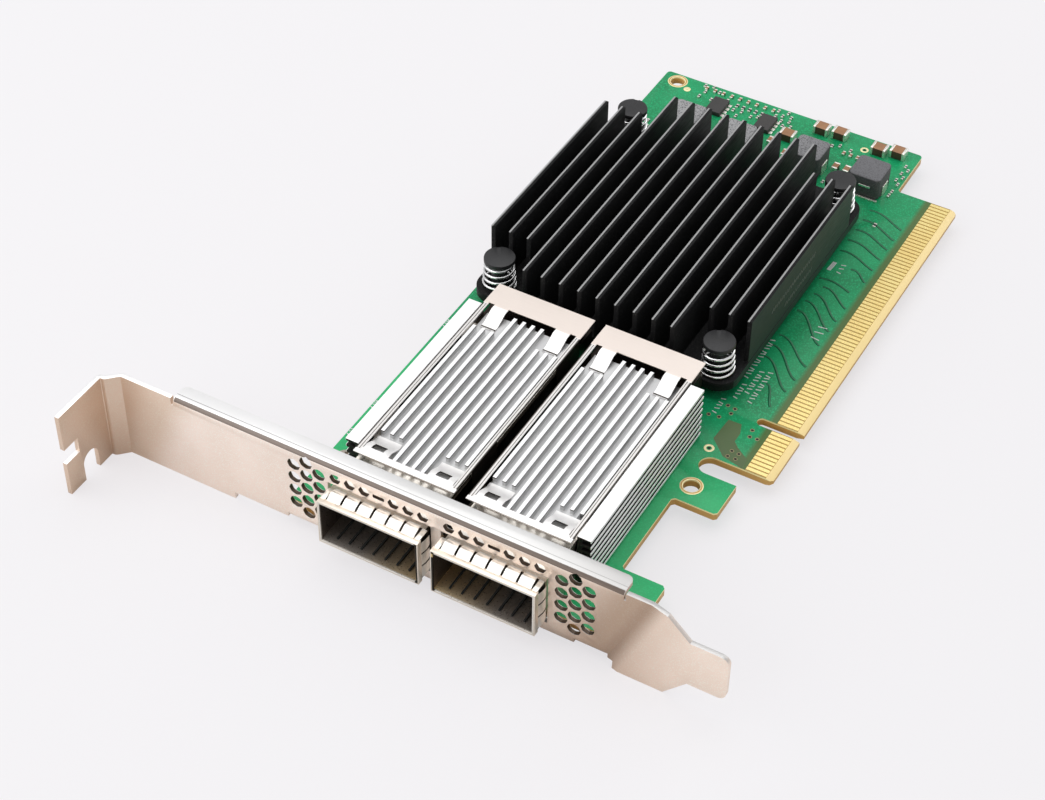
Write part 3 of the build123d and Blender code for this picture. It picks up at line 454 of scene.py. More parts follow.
# Colour that depends on the place. Each layer lays its colour over the last one where all its limits
# hold. Two numbers are hard limits, and a third makes them a ramp that rises to that share. X, Y and Z
# are places in millimetres, facingX to facingZ the parts of the normal, and measure makes the others
least, most = -999.0, 999.0
ventY, clipY, mouth = (-58.99, -58.25), (-50.5, -8.3), {"port": (least, 9.45), "Y": (-62.6, most)}
ventWallShade, underPartShade, creviceShade = (0.11, 0.08, 0.06), (0.045, 0.035, 0.028), (0.060, 0.052, 0.045)
layers = {
    "solderMask": {
        "paler tab": ((0.045, 0.56, 0.20), {"Y": (-6.0, -22.0, 0.6)}),
        "shadow between ports": ((0.012, 0.014, 0.010), {"X": (-41.6, -36.9), "Y": (least, -3.0)}),
        "beside the contacts": ((0.080, 0.155, 0.038), {"X": (-7.1, -6.2, 1.0), "Y": (-13.6, most)}),
        "under the contacts": ((0.44, 0.28, 0.07), {"X": (-5.35, -5.3, 1.0), "Y": (-13.6, most)}),
        "slope of the rim": ((1.0, 0.78, 0.36), {"flat": (0.985, 0.975, 1.0)}),
        "rim": ((0.98, 0.88, 0.45), {"flat": (0.92, 0.90, 1.0)}),
        "laminate": ((0.62, 0.36, 0.10), {"flat": (0.35, 0.25, 1.0), "Z": (-0.30, -0.36, 1.0)}),
    },
    "blackFins": {
        # painted reflection: the outer fin face tinted green as if mirroring the board
        "painted green reflection on the outer face": ((0.024, 0.046, 0.033), {"X": (-15.1, most), "facingX": (0.9, most)}),
        # painted highlight: a thin pale line along one long edge of each fin top
        "painted highlight on one edge of each top": ((0.36, 0.36, 0.36), {"fin": (least, 0.095), "Z": (13.66, most)}),
    },
    "bracketSheet": {
        # painted shade: a grey line along the flange bend and a dark band on the bend below it
        "painted shade line on the flange bend": ((0.36, 0.35, 0.34), {"Y": (-57.62, -57.50), "Z": (14.4, most)}),
        "painted shade under the flange bend": ((0.13, 0.095, 0.075), {"X": (-91.2, -4.9), "Z": (13.80, 14.36),
                                             "facingY": (least, -0.2), "share": 0.9}),
        # painted shade on the vent walls inside the sheet
        "painted shade in the left vents": (ventWallShade, {"X": (-72.0, -60.4), "Y": ventY, "Z": (-0.9, 13.3)}),
        "painted shade in the right vents": (ventWallShade, {"X": (-17.4, -9.4), "Y": ventY, "Z": (-0.9, 13.3)}),
        "painted shade in the row of vents": (ventWallShade, {"X": (-61.0, -17.4), "Y": ventY, "Z": (10.7, 13.1)}),
    },
    "cageSheet": {
        # painted shade on the cage under the spring fingers and under the clip
        "painted shade under the fingers": (underPartShade, {"Y": (-61.9, -59.2)}),
        "painted shade under the clip": (underPartShade, {"Y": (-12.0, -2.9)}),
        # painted shade on the cage walls in the gap between the two ports
        "gap": ((0.030, 0.024, 0.018), {"middle": (least, 1.9)}),
        "glint": ((0.80, 0.62, 0.32), {"X": (portMiddle, portMiddle + 1.9), "Z": (8.2, 9.0)}),
        # painted shade inside each port: dark walls, and a less dark floor
        "inside": ((0.16, 0.13, 0.11), {**mouth, "Z": (0.12, 9.27)}),
        "floor": ((0.34, 0.31, 0.28), {**mouth, "Z": (0.12, 0.45)}),
        # painted reflection: gold glints on the port floor, stronger towards the gap between the ports
        "painted gold reflection on the floor": ((0.75, 0.58, 0.34), {**mouth, "Z": (0.12, 0.45), "middle": (13.0, 2.0, 1.0)}),
    },
    "fingerSheet": {"cream mouth": ((0.86, 0.78, 0.68), {"Y": (least, -61.75)})},
    "finAluminium": {
        # painted shade between the fins: greyer channels, dark lines down the fin sides, a darker last
        # channel
        "painted shade in the channels": ((0.62, 0.62, 0.62), {"Z": (least, 11.12)}),
        "lines": ((0.10, 0.10, 0.10), {"Z": (10.86, 11.12)}),
        "painted shade in the last channel": ((0.16, 0.16, 0.16), {"X": (-20.8, -18.7), "Z": (least, 11.12)}),
    },
    # painted shade in the channels between the side heat sink's ridges
    "sideFins": {"painted shade between the ridges": ((0.028, 0.028, 0.026), {"port": (least, 12.5), "Z": (least, 11.2)})},
    "clipSheet": {
        "rear plate": ((0.80, 0.715, 0.655), {"Y": (-8.2, most)}),
        "side strip": ((0.74, 0.72, 0.70), {"port": (8.9, most), "Y": clipY}),
        # painted shade: thin dark lines along the clip's rails and at the ends of its tabs
        "painted shade line at the outer edge": (creviceShade, {"port": (9.66, most), "Y": clipY}),
        "painted shade line beside the strip": (creviceShade, {"port": (9.18, 9.30), "Y": clipY}),
        "painted shade at the tab ends": (creviceShade, {"port": (least, 8.8), "Y": (-12.95, -12.6)}),
        # painted shade on the clip walls facing the gap between the ports, and on the walls of the tab
        # windows
        "gap": ((0.035, 0.028, 0.022), {"middle": (least, 1.6), "Z": (least, 11.3)}),
        "painted shade on the window walls": ((0.035, 0.028, 0.022), {"port": (4.9, 7.7), "Y": (-49.6, -47.7), "flat": (least, 0.3)}),
    },
    # a paler band round the lower rim of each cap
    "pinPlastic": {"pale band round the cap rim": ((0.36, 0.36, 0.36), {"Z": (9.9, 10.1)})},
    "ringPlate": {"groove": ((0.62, 0.36, 0.10), {"ring": (1.67, 1.90)})},
    "inductorPowder": {
        # painted light: upward faces lighter than the sides, lighter still towards the left
        "painted light on the near tops": ((0.155, 0.155, 0.165), {"facingZ": (0.6, most)}),
        "painted light on the far tops": ((0.36, 0.36, 0.365), {"X": (-22.0, -46.0, 1.0), "facingZ": (0.6, most)}),
        "specks": ((0.11, 0.11, 0.115), {"speck": (0.5, most), "facingZ": (0.6, most)}),
    },
    # painted shade: the sides darker than the lit tops
    "ceramicBody": {"painted shade on the sides": ((0.060, 0.035, 0.020), {"facingZ": (least, 0.6)})},
}
finSpacing = {"first": -68.23, "pitch": 3.74}
specks = {"Scale": 6.0, "Share": 0.25}


def measure(tree, name, place, facing):
    if name == "flat":  # one on level faces, nought on upright ones
        return calc(tree, "ABSOLUTE", facing["Z"])
    if name == "middle":  # distance from the middle between the ports
        return away(tree, place["X"], portMiddle)
    if name == "port":  # distance from the middle of the nearer port
        return away(tree, away(tree, place["X"], portMiddle), portHalfPitch)
    if name == "fin":  # how far along one fin and the gap beside it
        along = calc(tree, "SUBTRACT", place["X"], finSpacing["first"])
        return calc(tree, "FRACT", calc(tree, "DIVIDE", along, finSpacing["pitch"]))
    if name == "ring":  # distance from the axis of the nearer large ring
        level = addNode(tree, "ShaderNodeCombineXYZ", {0: place["X"], 1: place["Y"]}).outputs[0]
        reaches = [addNode(tree, "ShaderNodeVectorMath", {0: level, 1: (*centre, 0)},
                           operation="DISTANCE").outputs["Value"] for centre, _, _ in holes["rings"]]
        return calc(tree, "MINIMUM", *reaches)
    if name == "speck":  # one on the specks of pressed powder
        objectPlace = addNode(tree, "ShaderNodeTexCoord").outputs["Object"]
        return addGroup(tree, flecks, {"Vector": objectPlace, **specks}).outputs["Mask"]
    return facing[name[-1]] if name.startswith("facing") else place[name]


# Painted light on the bracket: the ramp stops are painted shade in the bends and jogs, the top, tail and tab
# colours a painted highlight on upward faces
bracketShadeAndHighlight = {
    "lean": 0.438, "length": (-106.0, 14.0), "upward": (0.3, 0.95), "top": (0.72, 0.715, 0.705),
    "tail": (0.56, 0.55, 0.54), "tailX": (-26.0, -6.0), "tab": (0.97, 0.965, 0.96), "tabX": (-45.0, -72.0),
    "stops": [(0.0, (0.74, 0.66, 0.58)), (0.93, (1.0, 0.98, 0.95)), (0.06, (0.84, 0.78, 0.71)),
              (0.12, (1.0, 1.0, 1.0)), (0.50, (1.0, 1.0, 1.0)), (0.72, (0.88, 0.83, 0.78)),
              (0.81, (0.54, 0.46, 0.39)), (0.83, (0.46, 0.38, 0.32)), (0.86, (0.86, 0.81, 0.76))],
}


def shadeBracket(tree, base, place, facing):  # painted shade in the bends, painted highlight on the upward faces
    tone = bracketShadeAndHighlight
    lean = calc(tree, "SUBTRACT", place["X"], calc(tree, "MULTIPLY", place["Z"], tone["lean"]))
    ramp = addNode(tree, "ShaderNodeValToRGB", {"Fac": remap(tree, lean, *tone["length"])})
    stops = ramp.color_ramp.elements
    for number, (position, colour) in enumerate(tone["stops"]):  # the first and the last are there already
        stop = stops[number] if number < 2 else stops.new(position)
        stop.position = position
        stop.color = (*colour, 1)
    ramp.color_ramp.interpolation = "EASE"
    shaded = mixColours(tree, 1.0, base, ramp.outputs["Color"], "MULTIPLY")
    top = mixColours(tree, remap(tree, place["X"], *tone["tailX"]), tone["top"], tone["tail"])
    top = mixColours(tree, remap(tree, place["X"], *tone["tabX"]), top, tone["tab"])
    return mixColours(tree, remap(tree, facing["Z"], *tone["upward"]), shaded, top)


def layMask(tree, known, name, limits):  # a share of the whole, a ramp or hard limits
    if name == "share":
        return limits
    if len(limits) == 3:
        return remap(tree, known[name], *limits[:2], 0.0, limits[2])
    return between(tree, known[name], *limits)


for name, coats in layers.items():
    tree = made[name].node_tree
    baseColour = tree.nodes["Principled BSDF"].inputs["Base Color"]
    place = splitUp(tree, inMm(tree, addNode(tree, "ShaderNodeTexCoord").outputs["Object"]))
    facing = splitUp(tree, addNode(tree, "ShaderNodeNewGeometry").outputs["True Normal"])
    asked = sorted({label for _, limits in coats.values() for label in limits if label != "share"})
    known = {label: measure(tree, label, place, facing) for label in asked}
    colour = baseColour.links[0].from_socket
    if name == "bracketSheet":
        colour = shadeBracket(tree, colour, place, facing)
    for coat, (tint, limits) in coats.items():
        masks = [layMask(tree, known, label, limit) for label, limit in limits.items()]
        colour = mixColours(tree, times(tree, *masks), colour, tint)
        colour.node.label = coat
    tree.links.new(colour, baseColour)
print("materials ready")

# Circuit board, its contacts and what is printed and plated on it
boardEdge = {"from": -68.05, "out": 0.95}


def widenBoard(piece):  # shows the thin green strip beyond the left side heat sink
    mesh = bmesh.from_edit_mesh(piece.data)
    for vertex in mesh.verts:
        if vertex.co.x / mm < boardEdge["from"]:
            vertex.co.x -= boardEdge["out"] * mm
    bmesh.update_edit_mesh(piece.data)


keepPiece(dressNode("circuit_board", 0.18, shape=widenBoard), made["solderMask"])
for side in ("top", "bottom"):
    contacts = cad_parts["edge_contacts_" + side]
    contacts.data.materials.clear()
    contacts.data.materials.append(made["contactGold"])


def platedRing(name, place, inner, outer):
    low, high = -0.01, holes["thick"]
    middle = (inner + outer) / 2
    ring = drawProfile(name, [(inner, low), (inner, high - 0.02), (inner + 0.05, high), (middle, high),
                              (outer - 0.05, high), (outer, high - 0.02), (outer, low), (inner, low)])
    turnProfile(ring, 40)
    ring.data.transform(Matrix.Translation((place[0] * mm, place[1] * mm, 0)))
    smoothByAngle(ring)
    return ring


rings = [platedRing("ring", place, inner, outer) for place, inner, outer in holes["rings"] + holes["dots"]]
rings += [copyPiece(ring, "ring", (0, 0, -holes["board"] - holes["thick"])) for ring in rings[:2]]
keepPiece(joinPieces("hole_rings", rings), made["ringPlate"])
viaRings = setOut("via_rings", platedRing("via", (0, 0), *holes["via"]), holes["vias"])
keepPiece(viaRings, made["viaPlate"])
# Thin near-black discs of painted shade where the vias and the two small holes open
hollow = drawProfile("hollow", holes["hollow"])
turnProfile(hollow, 16)
hollowPlaces = holes["vias"] + [place for place, _, _ in holes["dots"][:2]]
keepPiece(setOut("via_hollows", hollow, hollowPlaces), made["paintedShadeBlack"])
print("board dressed")


def easeLine(start, end, bend, count):  # a trace that leaves along X and swings over to its contact
    line = []
    for step in range(count + 1):
        t = step / count
        swing = t * t * (3 - 2 * t)
        line.append((start[0] + (end[0] - start[0]) * t,
                     start[1] + (end[1] - start[1]) * swing + bend * math.sin(math.pi * t)))
    return line


traces = {"width": 0.50, "height": 0.012, "level": 0.004, "bend": 0.7, "steps": 20, "lines": [
    ((-15.0, 64.0), (-7.2, 61.4)), ((-15.0, 60.6), (-7.2, 57.8)), ((-15.0, 57.2), (-7.2, 54.6)),
    ((-15.0, 53.6), (-7.2, 51.2)), ((-15.0, 50.0), (-7.2, 47.6)), ((-11.0, 45.8), (-7.1, 43.6)),
    ((-15.2, 40.6), (-8.5, 39.6)), ((-13.5, 38.6), (-7.2, 35.0)), ((-14.2, 36.0), (-7.3, 30.9)),
    ((-14.8, 33.4), (-7.3, 27.6)), ((-15.0, 30.2), (-7.3, 23.3)), ((-15.0, 22.4), (-7.0, 16.9)),
    ((-15.0, 19.2), (-7.2, 12.7)), ((-15.0, 15.8), (-7.4, 9.1)), ((-11.4, 9.2), (-8.2, 4.2))]}
traceLines = [easeLine(start, end, traces["bend"], traces["steps"]) for start, end in traces["lines"]]
traceRibbons = drawRibbons("trace_ribbons", traceLines, traces["width"], traces["height"], traces["level"])
keepPiece(traceRibbons, made["buriedTrace"])

patch = {"level": -0.004, "thick": 0.014, "outline": [
    (-13.2, -2.4), (-10.7, -2.3), (-9.9, -4.5), (-9.9, -6.7), (-8.8, -7.8), (-6.1, -9.7), (-5.8, -12.1),
    (-10.1, -11.1), (-13.5, -7.9)]}


def flatPatch(name, outline, level, thick):
    deselectAll()
    bpy.ops.mesh.primitive_circle_add(vertices=len(outline), radius=mm, fill_type="NGON")
    piece = nameNew(name)
    for vertex, (x, y) in zip(piece.data.vertices, outline):
        vertex.co = (x * mm, y * mm, level * mm)
    activate(piece)
    bpy.ops.object.mode_set(mode="EDIT")
    bpy.ops.mesh.select_all(action="SELECT")
    bpy.ops.mesh.extrude_region_move(TRANSFORM_OT_translate={"value": (0, 0, thick * mm)})
    bpy.ops.mesh.select_all(action="SELECT")
    bpy.ops.mesh.normals_make_consistent(inside=False)
    bpy.ops.object.mode_set(mode="OBJECT")
    return piece


copperPatch = flatPatch("copper_patch", patch["outline"], patch["level"], patch["thick"])
keepPiece(copperPatch, made["buriedPatch"])

# White ink: rows of short dashes and plain bars where the board is printed, with no lettering
ink = {"width": 0.28, "height": 0.012, "level": 0.006, "lean": (-0.2, 0.25, 0.25)}
inkRows = [  # x, first y, last y, dash length, step
    (-15.3, 9.2, 20.8, 0.95, 0.85), (-13.4, 5.6, 12.2, 0.95, 0.85), (-11.9, 3.6, 12.2, 0.95, 0.85),
    (-14.7, 3.4, 7.0, 0.9, 0.9), (-16.3, -1.8, 2.6, 0.9, 0.9), (-12.6, 43.9, 46.4, 0.9, 1.1),
    (-8.8, 24.8, 28.2, 1.7, 1.6), (-69.5, -6.6, -4.4, 0.5, 0.6), (-69.5, -31.4, -29.5, 0.5, 0.6),
    (-69.5, -39.2, -37.6, 0.5, 0.6)]
inkLines = []
for x, first, last, length, step in inkRows:
    for place in range(int((last - first) / step) + 1):
        y = first + place * step
        inkLines.append([(x - length / 2, y), (x + length / 2, y + ink["lean"][place % 3])])
for place in range(3):  # one wide bar of three strips
    inset = place * ink["width"]
    inkLines.append([(-14.9 + inset, 43.6), (-14.7 + inset, 46.3)])
inkDashes = drawRibbons("ink_dashes", inkLines, ink["width"], ink["height"], ink["level"])
keepPiece(inkDashes, made["inkWhite"])
print("traces drawn")

# Full-height bracket and its screws
bracketSizes = {"edge": 0.10, "soften": 0.2, "sheet": 0.86, "leftX": (-72, -60.4), "rightX": (-17.4, -9.4),
                "besideZ": (-0.8, 14.2), "rowX": (-61, -18), "rowZ": (10.7, 13.1)}


def softenVents(piece):  # turns each flat-sided vent nearly round
    size = bracketSizes
    bpy.ops.mesh.select_mode(type="EDGE")

    def within(value, limits):
        return size[limits][0] < value < size[limits][1]

    def inVent(a, b):
        straight = abs(a.x - b.x) < 0.01 and abs(a.z - b.z) < 0.01
        through = straight and abs(abs(a.y - b.y) - size["sheet"]) < 0.02
        beside = (within(a.x, "leftX") or within(a.x, "rightX")) and within(a.z, "besideZ")
        return through and (beside or (within(a.x, "rowX") and within(a.z, "rowZ")))

    selectEdges(piece, inVent)
    bpy.ops.mesh.bevel(offset=size["soften"] * mm, segments=2, affect="EDGES")


keepPiece(dressNode("full_height_bracket", bracketSizes["edge"], shape=softenVents),
          made["bracketSheet"])

screwSizes = {"head": 2.6, "shank": 1.4, "top": 1.75, "low": -3.2, "recess": (2.7, 0.62, 0.9),
              "places": [(-65.8, -45.69), (-10.2, -50.79)], "turns": (0.4, 1.1)}


def panScrew(name):
    size = screwSizes
    head, shank, top, low = (size[part] for part in ("head", "shank", "top", "low"))
    screw = drawProfile(name, [(0, top), (1.2, top - 0.05), (2.1, top - 0.35), (head - 0.05, top - 1.1),
                               (head, 0.15), (head - 0.1, 0.0), (shank, 0.0), (shank, low + 0.3),
                               (shank - 0.3, low), (0, low)])
    turnProfile(screw, 32)
    length, width, deep = size["recess"]
    for across, along in ((length, width), (width, length)):
        cutOut(screw, (0, 0, top), (across, along, 2 * deep))
    smoothByAngle(screw, 30)
    return screw


screwPiece = setOut("bracket_screws_piece", panScrew("screw"), screwSizes["places"], screwSizes["turns"])
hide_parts("bracket_screws")
keepPiece(screwPiece, made["screwSteel"])
print("bracket dressed")

# Ports: cages, connectors, spring fingers, heat sinks and clips
portX = {"left": -50.2, "right": -28.3}
cage = {"half": 9.58, "mouth": -62.9, "high": 9.4}
fingers = {"width": 2.5, "pitch": 2.87, "sheet": 0.12, "top": 6, "side": 3, "start": 0.95, "length": 2.7,
           "root": 0.3, "steps": 7, "rise": 0.58, "bow": 0.8 * math.pi, "thin": 0.45,
           "taper": 0.95, "above": 0.05, "beside": 0.04}
mouthBand = {"thick": 0.2, "long": 1.2, "corner": (0.95, 2.6, 0.22), "cornerX": 9.12, "cornerY": 2.2}
clipWindows = {"size": (2.4, 1.55, 2.6), "x": {"left": (-56.5, -43.9), "right": (-34.6, -22.0)}, "y": -48.65,
               "z": 11.2}


def makeFinger(name):  # one bowed finger over the top, its root at the mouth
    size = fingers
    deselectAll()
    bpy.ops.mesh.primitive_plane_add(size=1, location=(0, size["root"] / 2 * mm, size["sheet"] / 2 * mm))
    piece = nameNew(name)
    piece.scale = (size["width"] * mm, size["root"] * mm, 1)
    applyPlace(piece)
    bpy.ops.object.mode_set(mode="EDIT")
    bpy.ops.mesh.select_mode(type="EDGE")
    selectEdges(piece, lambda a, b: min(a.y, b.y) > size["root"] - 0.01)
    for step in range(size["steps"]):
        start, end = (math.sin(size["bow"] * (step + ahead) / size["steps"]) for ahead in (0, 1))
        move = (0, (size["length"] - size["root"]) / size["steps"] * mm, size["rise"] * (end - start) * mm)
        bpy.ops.mesh.extrude_region_move(TRANSFORM_OT_translate={"value": move})
        if step > 3:  # narrower towards the tip
            bpy.ops.transform.resize(value=(size["taper"], 1, 1))
    bpy.ops.object.mode_set(mode="OBJECT")
    activate(piece)
    wall = piece.modifiers.new("sheet", "SOLIDIFY")
    wall.thickness = size["sheet"] * mm
    wall.offset = 1
    bpy.ops.object.modifier_apply(modifier=wall.name)
    roundEdges(piece, 0.03, 1, 60)
    return piece


finger = makeFinger("finger")


def setFinger(x, z, turn=0.0, thin=1.0):  # a copy of the finger, turned about the Y axis
    strip = copyPiece(finger, "strip", (0, 0, 0))
    strip.data.transform(Matrix.Translation(Vector((x, cage["mouth"] + fingers["start"], z)) * mm)
                         @ Matrix.Rotation(turn, 4, "Y") @ Matrix.Diagonal((1, 1, thin, 1)))
    return strip


def makeFingers(x):  # the strips round one mouth, the two upper corners and the four bands
    strips = []
    for fingerX in inRow(x, fingers["top"], fingers["pitch"]):
        strips.append(setFinger(fingerX, cage["high"] + fingers["above"]))
        strips.append(setFinger(fingerX, -fingers["above"], math.pi))
    for direction in (-1, 1):
        for fingerZ in inRow(cage["high"] / 2, fingers["side"], fingers["pitch"]):
            fingerX = x + direction * (cage["half"] + fingers["beside"])
            strips.append(setFinger(fingerX, fingerZ, direction * math.pi / 2, fingers["thin"]))
        cornerPlace = (x + direction * mouthBand["cornerX"], cage["mouth"] + mouthBand["cornerY"],
                       cage["high"] + mouthBand["thick"])
        corner = addBlock("corner", cornerPlace, mouthBand["corner"])
        roundEdges(corner, 0.08)
        strips.append(corner)
    thick, wide, high = mouthBand["thick"], 2 * (cage["half"] + mouthBand["thick"]), cage["high"]
    for bandX, bandZ, width, height in ((x, high + thick / 2, wide, thick), (x, -thick / 2, wide, thick),
                                        (x - cage["half"] - thick / 2, high / 2, thick, high),
                                        (x + cage["half"] + thick / 2, high / 2, thick, high)):
        band = addBlock("band", (bandX, cage["mouth"] + mouthBand["long"] / 2, bandZ),
                        (width, mouthBand["long"], height))
        roundEdges(band, 0.06)
        strips.append(band)
    return strips


for side, x in portX.items():
    keepPiece(dressNode("cage_" + side, 0.05), made["cageSheet"])
    keepPiece(dressNode("module_connector_" + side, 0.12), made["connectorBody"])
    keepPiece(dressNode("port_heatsink_" + side, 0.06, 1), made["finAluminium"])
    clip = dressNode("heatsink_clip_" + side, 0.05, 1)
    for windowX in clipWindows["x"][side]:  # opens the hollow in each front tab
        cutOut(clip, (windowX, clipWindows["y"], clipWindows["z"]), clipWindows["size"])
    keepPiece(clip, made["clipSheet"])
    keepPiece(dressNode("side_heatsink_" + side, 0.07, 1), made["sideFins"])
    fingerPiece = joinPieces("emi_fingers_%s_piece" % side, makeFingers(x))
    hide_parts("emi_fingers_" + side)
    keepPiece(fingerPiece, made["fingerSheet"])
bpy.data.objects.remove(finger)

# Inside each port: floor ribs, and the two rows of contacts in the card slot
portInside = {"ribs": 7, "ribPitch": 2.35, "rib": (0.35, 27.0, 0.35), "ribY": -48.0, "ribZ": 0.475,
              "contacts": 19, "contactPitch": 0.6, "contact": (0.28, 5.4, 0.14), "contactY": -10.6,
              "contactZ": (3.5, 4.7)}
ribs, contactBars = [], []
for x in portX.values():
    for ribX in inRow(x, portInside["ribs"], portInside["ribPitch"]):
        rib = addBlock("rib", (ribX, portInside["ribY"], portInside["ribZ"]), portInside["rib"])
        roundEdges(rib, 0.1)
        ribs.append(rib)
    for contactX in inRow(x, portInside["contacts"], portInside["contactPitch"]):
        for level in portInside["contactZ"]:
            place = (contactX, portInside["contactY"], level)
            contactBars.append(addBlock("bar", place, portInside["contact"]))
# the ribs deep inside the ports are painted near-black as shade
keepPiece(joinPieces("cage_floor_ribs", ribs), made["paintedShadeBlack"])
bars = joinPieces("module_contacts", contactBars)
roundEdges(bars, 0.03, 1)
keepPiece(bars, made["contactGold"])
print("ports dressed")

# Main heat sink, controller, push pins and springs
keepPiece(dressNode("main_heatsink", 0.16), made["blackFins"])
keepPiece(dressNode("controller_substrate", 0.08), made["packageLaminate"])
keepPiece(dressNode("controller_lid", 0.10), made["lidMetal"])
keepPiece(dressNode("thermal_pad", 0.03, 1), made["padGrey"])

pinPlaces = [(-41.6 + across * 22.45, 30.6 + along * 26.2) for across in (-1, 1) for along in (-1, 1)]
pinSizes = {"cap": 2.95, "top": 10.95, "shaft": 1.48, "barb": 2.1, "turns": (0.6, 0.2, 0.5, 0.1),
            "notch": ((0, 2.95, 10.9), (0.9, 0.7, 0.8)), "split": ((0, 0, -2.4), (0.7, 5.0, 3.2))}


def makePin(name):
    size = pinSizes
    cap, top, shaft, barb = (size[part] for part in ("cap", "top", "shaft", "barb"))
    pin = drawProfile(name, [(0, top), (cap - 0.25, top), (cap - 0.06, top - 0.07), (cap, top - 0.25),
                             (cap, top - 0.85), (cap - 0.12, top - 1.0), (shaft, top - 1.0), (shaft, -1.65),
                             (barb, -1.66), (barb, -2.0), (1.2, -3.9), (0, -3.9)])
    turnProfile(pin, 36)
    for cut in ("notch", "split"):
        cutOut(pin, *size[cut])
    smoothByAngle(pin, 32)
    return pin


pinPiece = setOut("push_pins_piece", makePin("pin"), pinPlaces, pinSizes["turns"])
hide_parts("push_pins")
keepPiece(pinPiece, made["pinPlastic"])

springSizes = {"wire": 0.26, "low": 4.2, "top": 9.95, "radius": 3.12, "narrow": 0.86, "coils": 4,
               "turns": (0, 2, 4, 5)}


def makeSpring(name):
    size = springSizes
    high = size["top"] - size["low"]
    circle = [(size["radius"] + size["wire"] * math.cos(step * math.pi / 4),
               size["low"] + size["wire"] * (1 + math.sin(step * math.pi / 4))) for step in range(9)]
    spring = drawProfile(name, circle)
    activate(spring)
    bpy.ops.object.mode_set(mode="EDIT")
    bpy.ops.mesh.select_all(action="SELECT")
    bpy.ops.mesh.remove_doubles(threshold=mergeWithin)
    bpy.ops.object.mode_set(mode="OBJECT")
    turnProfile(spring, 24, (high - 2 * size["wire"]) / size["coils"], size["coils"])
    for vertex in spring.data.vertices:  # narrows towards the cap
        factor = 1 + (size["narrow"] - 1) * (vertex.co.z / mm - size["low"]) / high
        vertex.co.x *= factor
        vertex.co.y *= factor
    smoothByAngle(spring, 50)
    return spring


springPiece = setOut("pin_springs_piece", makeSpring("spring"), pinPlaces, springSizes["turns"])
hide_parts("pin_springs")
keepPiece(springPiece, made["springWire"])
print("heat sink, pins and springs ready")

# Faint dashes on the outer fin, where it is printed. Rows: height, first place along the fin, count
finPrint = {"width": 0.22, "height": 0.012, "x": -14.966, "rise": 0.9, "from": -0.45, "to": 0.25,
            "rows": [(8.9, 18.0, 19), (6.0, 24.0, 12)]}
finLines = [[(y + finPrint["from"], z), (y + finPrint["to"], z + finPrint["rise"])]
            for z, first, count in finPrint["rows"] for y in (first + step for step in range(count))]
finDashes = drawRibbons("fin_dashes", finLines, finPrint["width"], finPrint["height"], 0.0)
upright = ((0, 0, 1, finPrint["x"] * mm), (1, 0, 0, 0), (0, 1, 0, 0), (0, 0, 0, 1))
finDashes.data.transform(Matrix(upright))
keepPiece(finDashes, made["finInk"])

# Rear parts
keepPiece(dressNode("power_inductors", 0.35, 3, 30), made["inductorPowder"])
keepPiece(dressNode("inductor_terminals", 0.05, 1), made["tinPlate"])
keepPiece(dressNode("power_switches", 0.08), made["chipBody"])

chipKinds = {  # width, depth and height, length of the plated ends, rounding
    "large": {"size": (3.2, 2.5, 1.8), "end": 0.55, "round": 0.12},
    "medium": {"size": (1.25, 2.0, 1.2), "end": 0.4, "round": 0.08},
    "small": {"size": (0.6, 1.1, 0.5), "end": 0.26, "round": 0.05},
    "resistor": {"size": (0.6, 1.1, 0.35), "end": 0.24, "round": 0.03},
    "tiny": {"size": (0.5, 0.95, 0.4), "end": 0.30, "round": 0.03},
}
chipPlaces = {
    "large": [(-33.4, 82.1), (-29.5, 82.4), (-20.6, 81.6), (-16.9, 82.6), (-38.5, 76.5)],
    "medium": [(-26.0, 72.2), (-23.7, 72.4), (-51.9, 74.2), (-40.8, 73.4), (-36.6, 71.0)],
    "small": [(x + n * pitch, y) for x, y, count, pitch in
              ((-60.0, 83.2, 9, 1.9), (-61.0, 75.2, 4, 1.7), (-26.6, 77.6, 6, 1.5), (-66.2, 63.4, 5, 1.6))
              for n in range(count)],
    "resistor": [(x + n * pitch, y) for x, y, count, pitch in
                 ((-52.0, 81.0, 5, 1.4), (-37.0, 64.6, 6, 1.5), (-12.2, 60.0, 1, 1.5))
                 for n in range(count)] + [(-64.34, -5.5 + n * 1.5) for n in (-1, 0, 1)],
}
tinyClusters = [
    (-60.7, 83.9), (-58.9, 84.3), (-60.3, 80.1), (-59.8, 82.0), (-57.6, 80.2), (-57.1, 83.2), (-54.5, 81.6),
    (-52.1, 79.3), (-50.3, 79.6), (-49.1, 80.0), (-47.7, 80.9), (-48.0, 79.0), (-46.7, 79.6), (-50.8, 77.8),
    (-43.8, 83.7), (-42.4, 82.5), (-41.7, 83.9), (-40.6, 82.8), (-43.7, 81.9), (-42.0, 80.9), (-40.4, 81.3),
    (-41.1, 79.5), (-39.7, 78.2), (-45.4, 82.2), (-39.5, 79.9), (-28.2, 79.4), (-25.7, 79.0), (-24.6, 77.0),
    (-29.6, 78.6), (-14.1, 79.9), (-13.2, 78.8), (-14.0, 77.4), (-13.2, 76.2), (-14.1, 75.0), (-13.3, 73.8),
    (-13.4, 71.2), (-13.5, 69.8), (-65.6, 67.4), (-65.0, 65.6), (-25.8, 68.8), (-26.5, 67.1)]
taken = chipPlaces["small"] + chipPlaces["resistor"]
chipPlaces["tiny"] = [(x, y) for x, y in tinyClusters
                      if all(abs(x - a) > 0.65 or abs(y - b) > 1.15 for a, b in taken)]


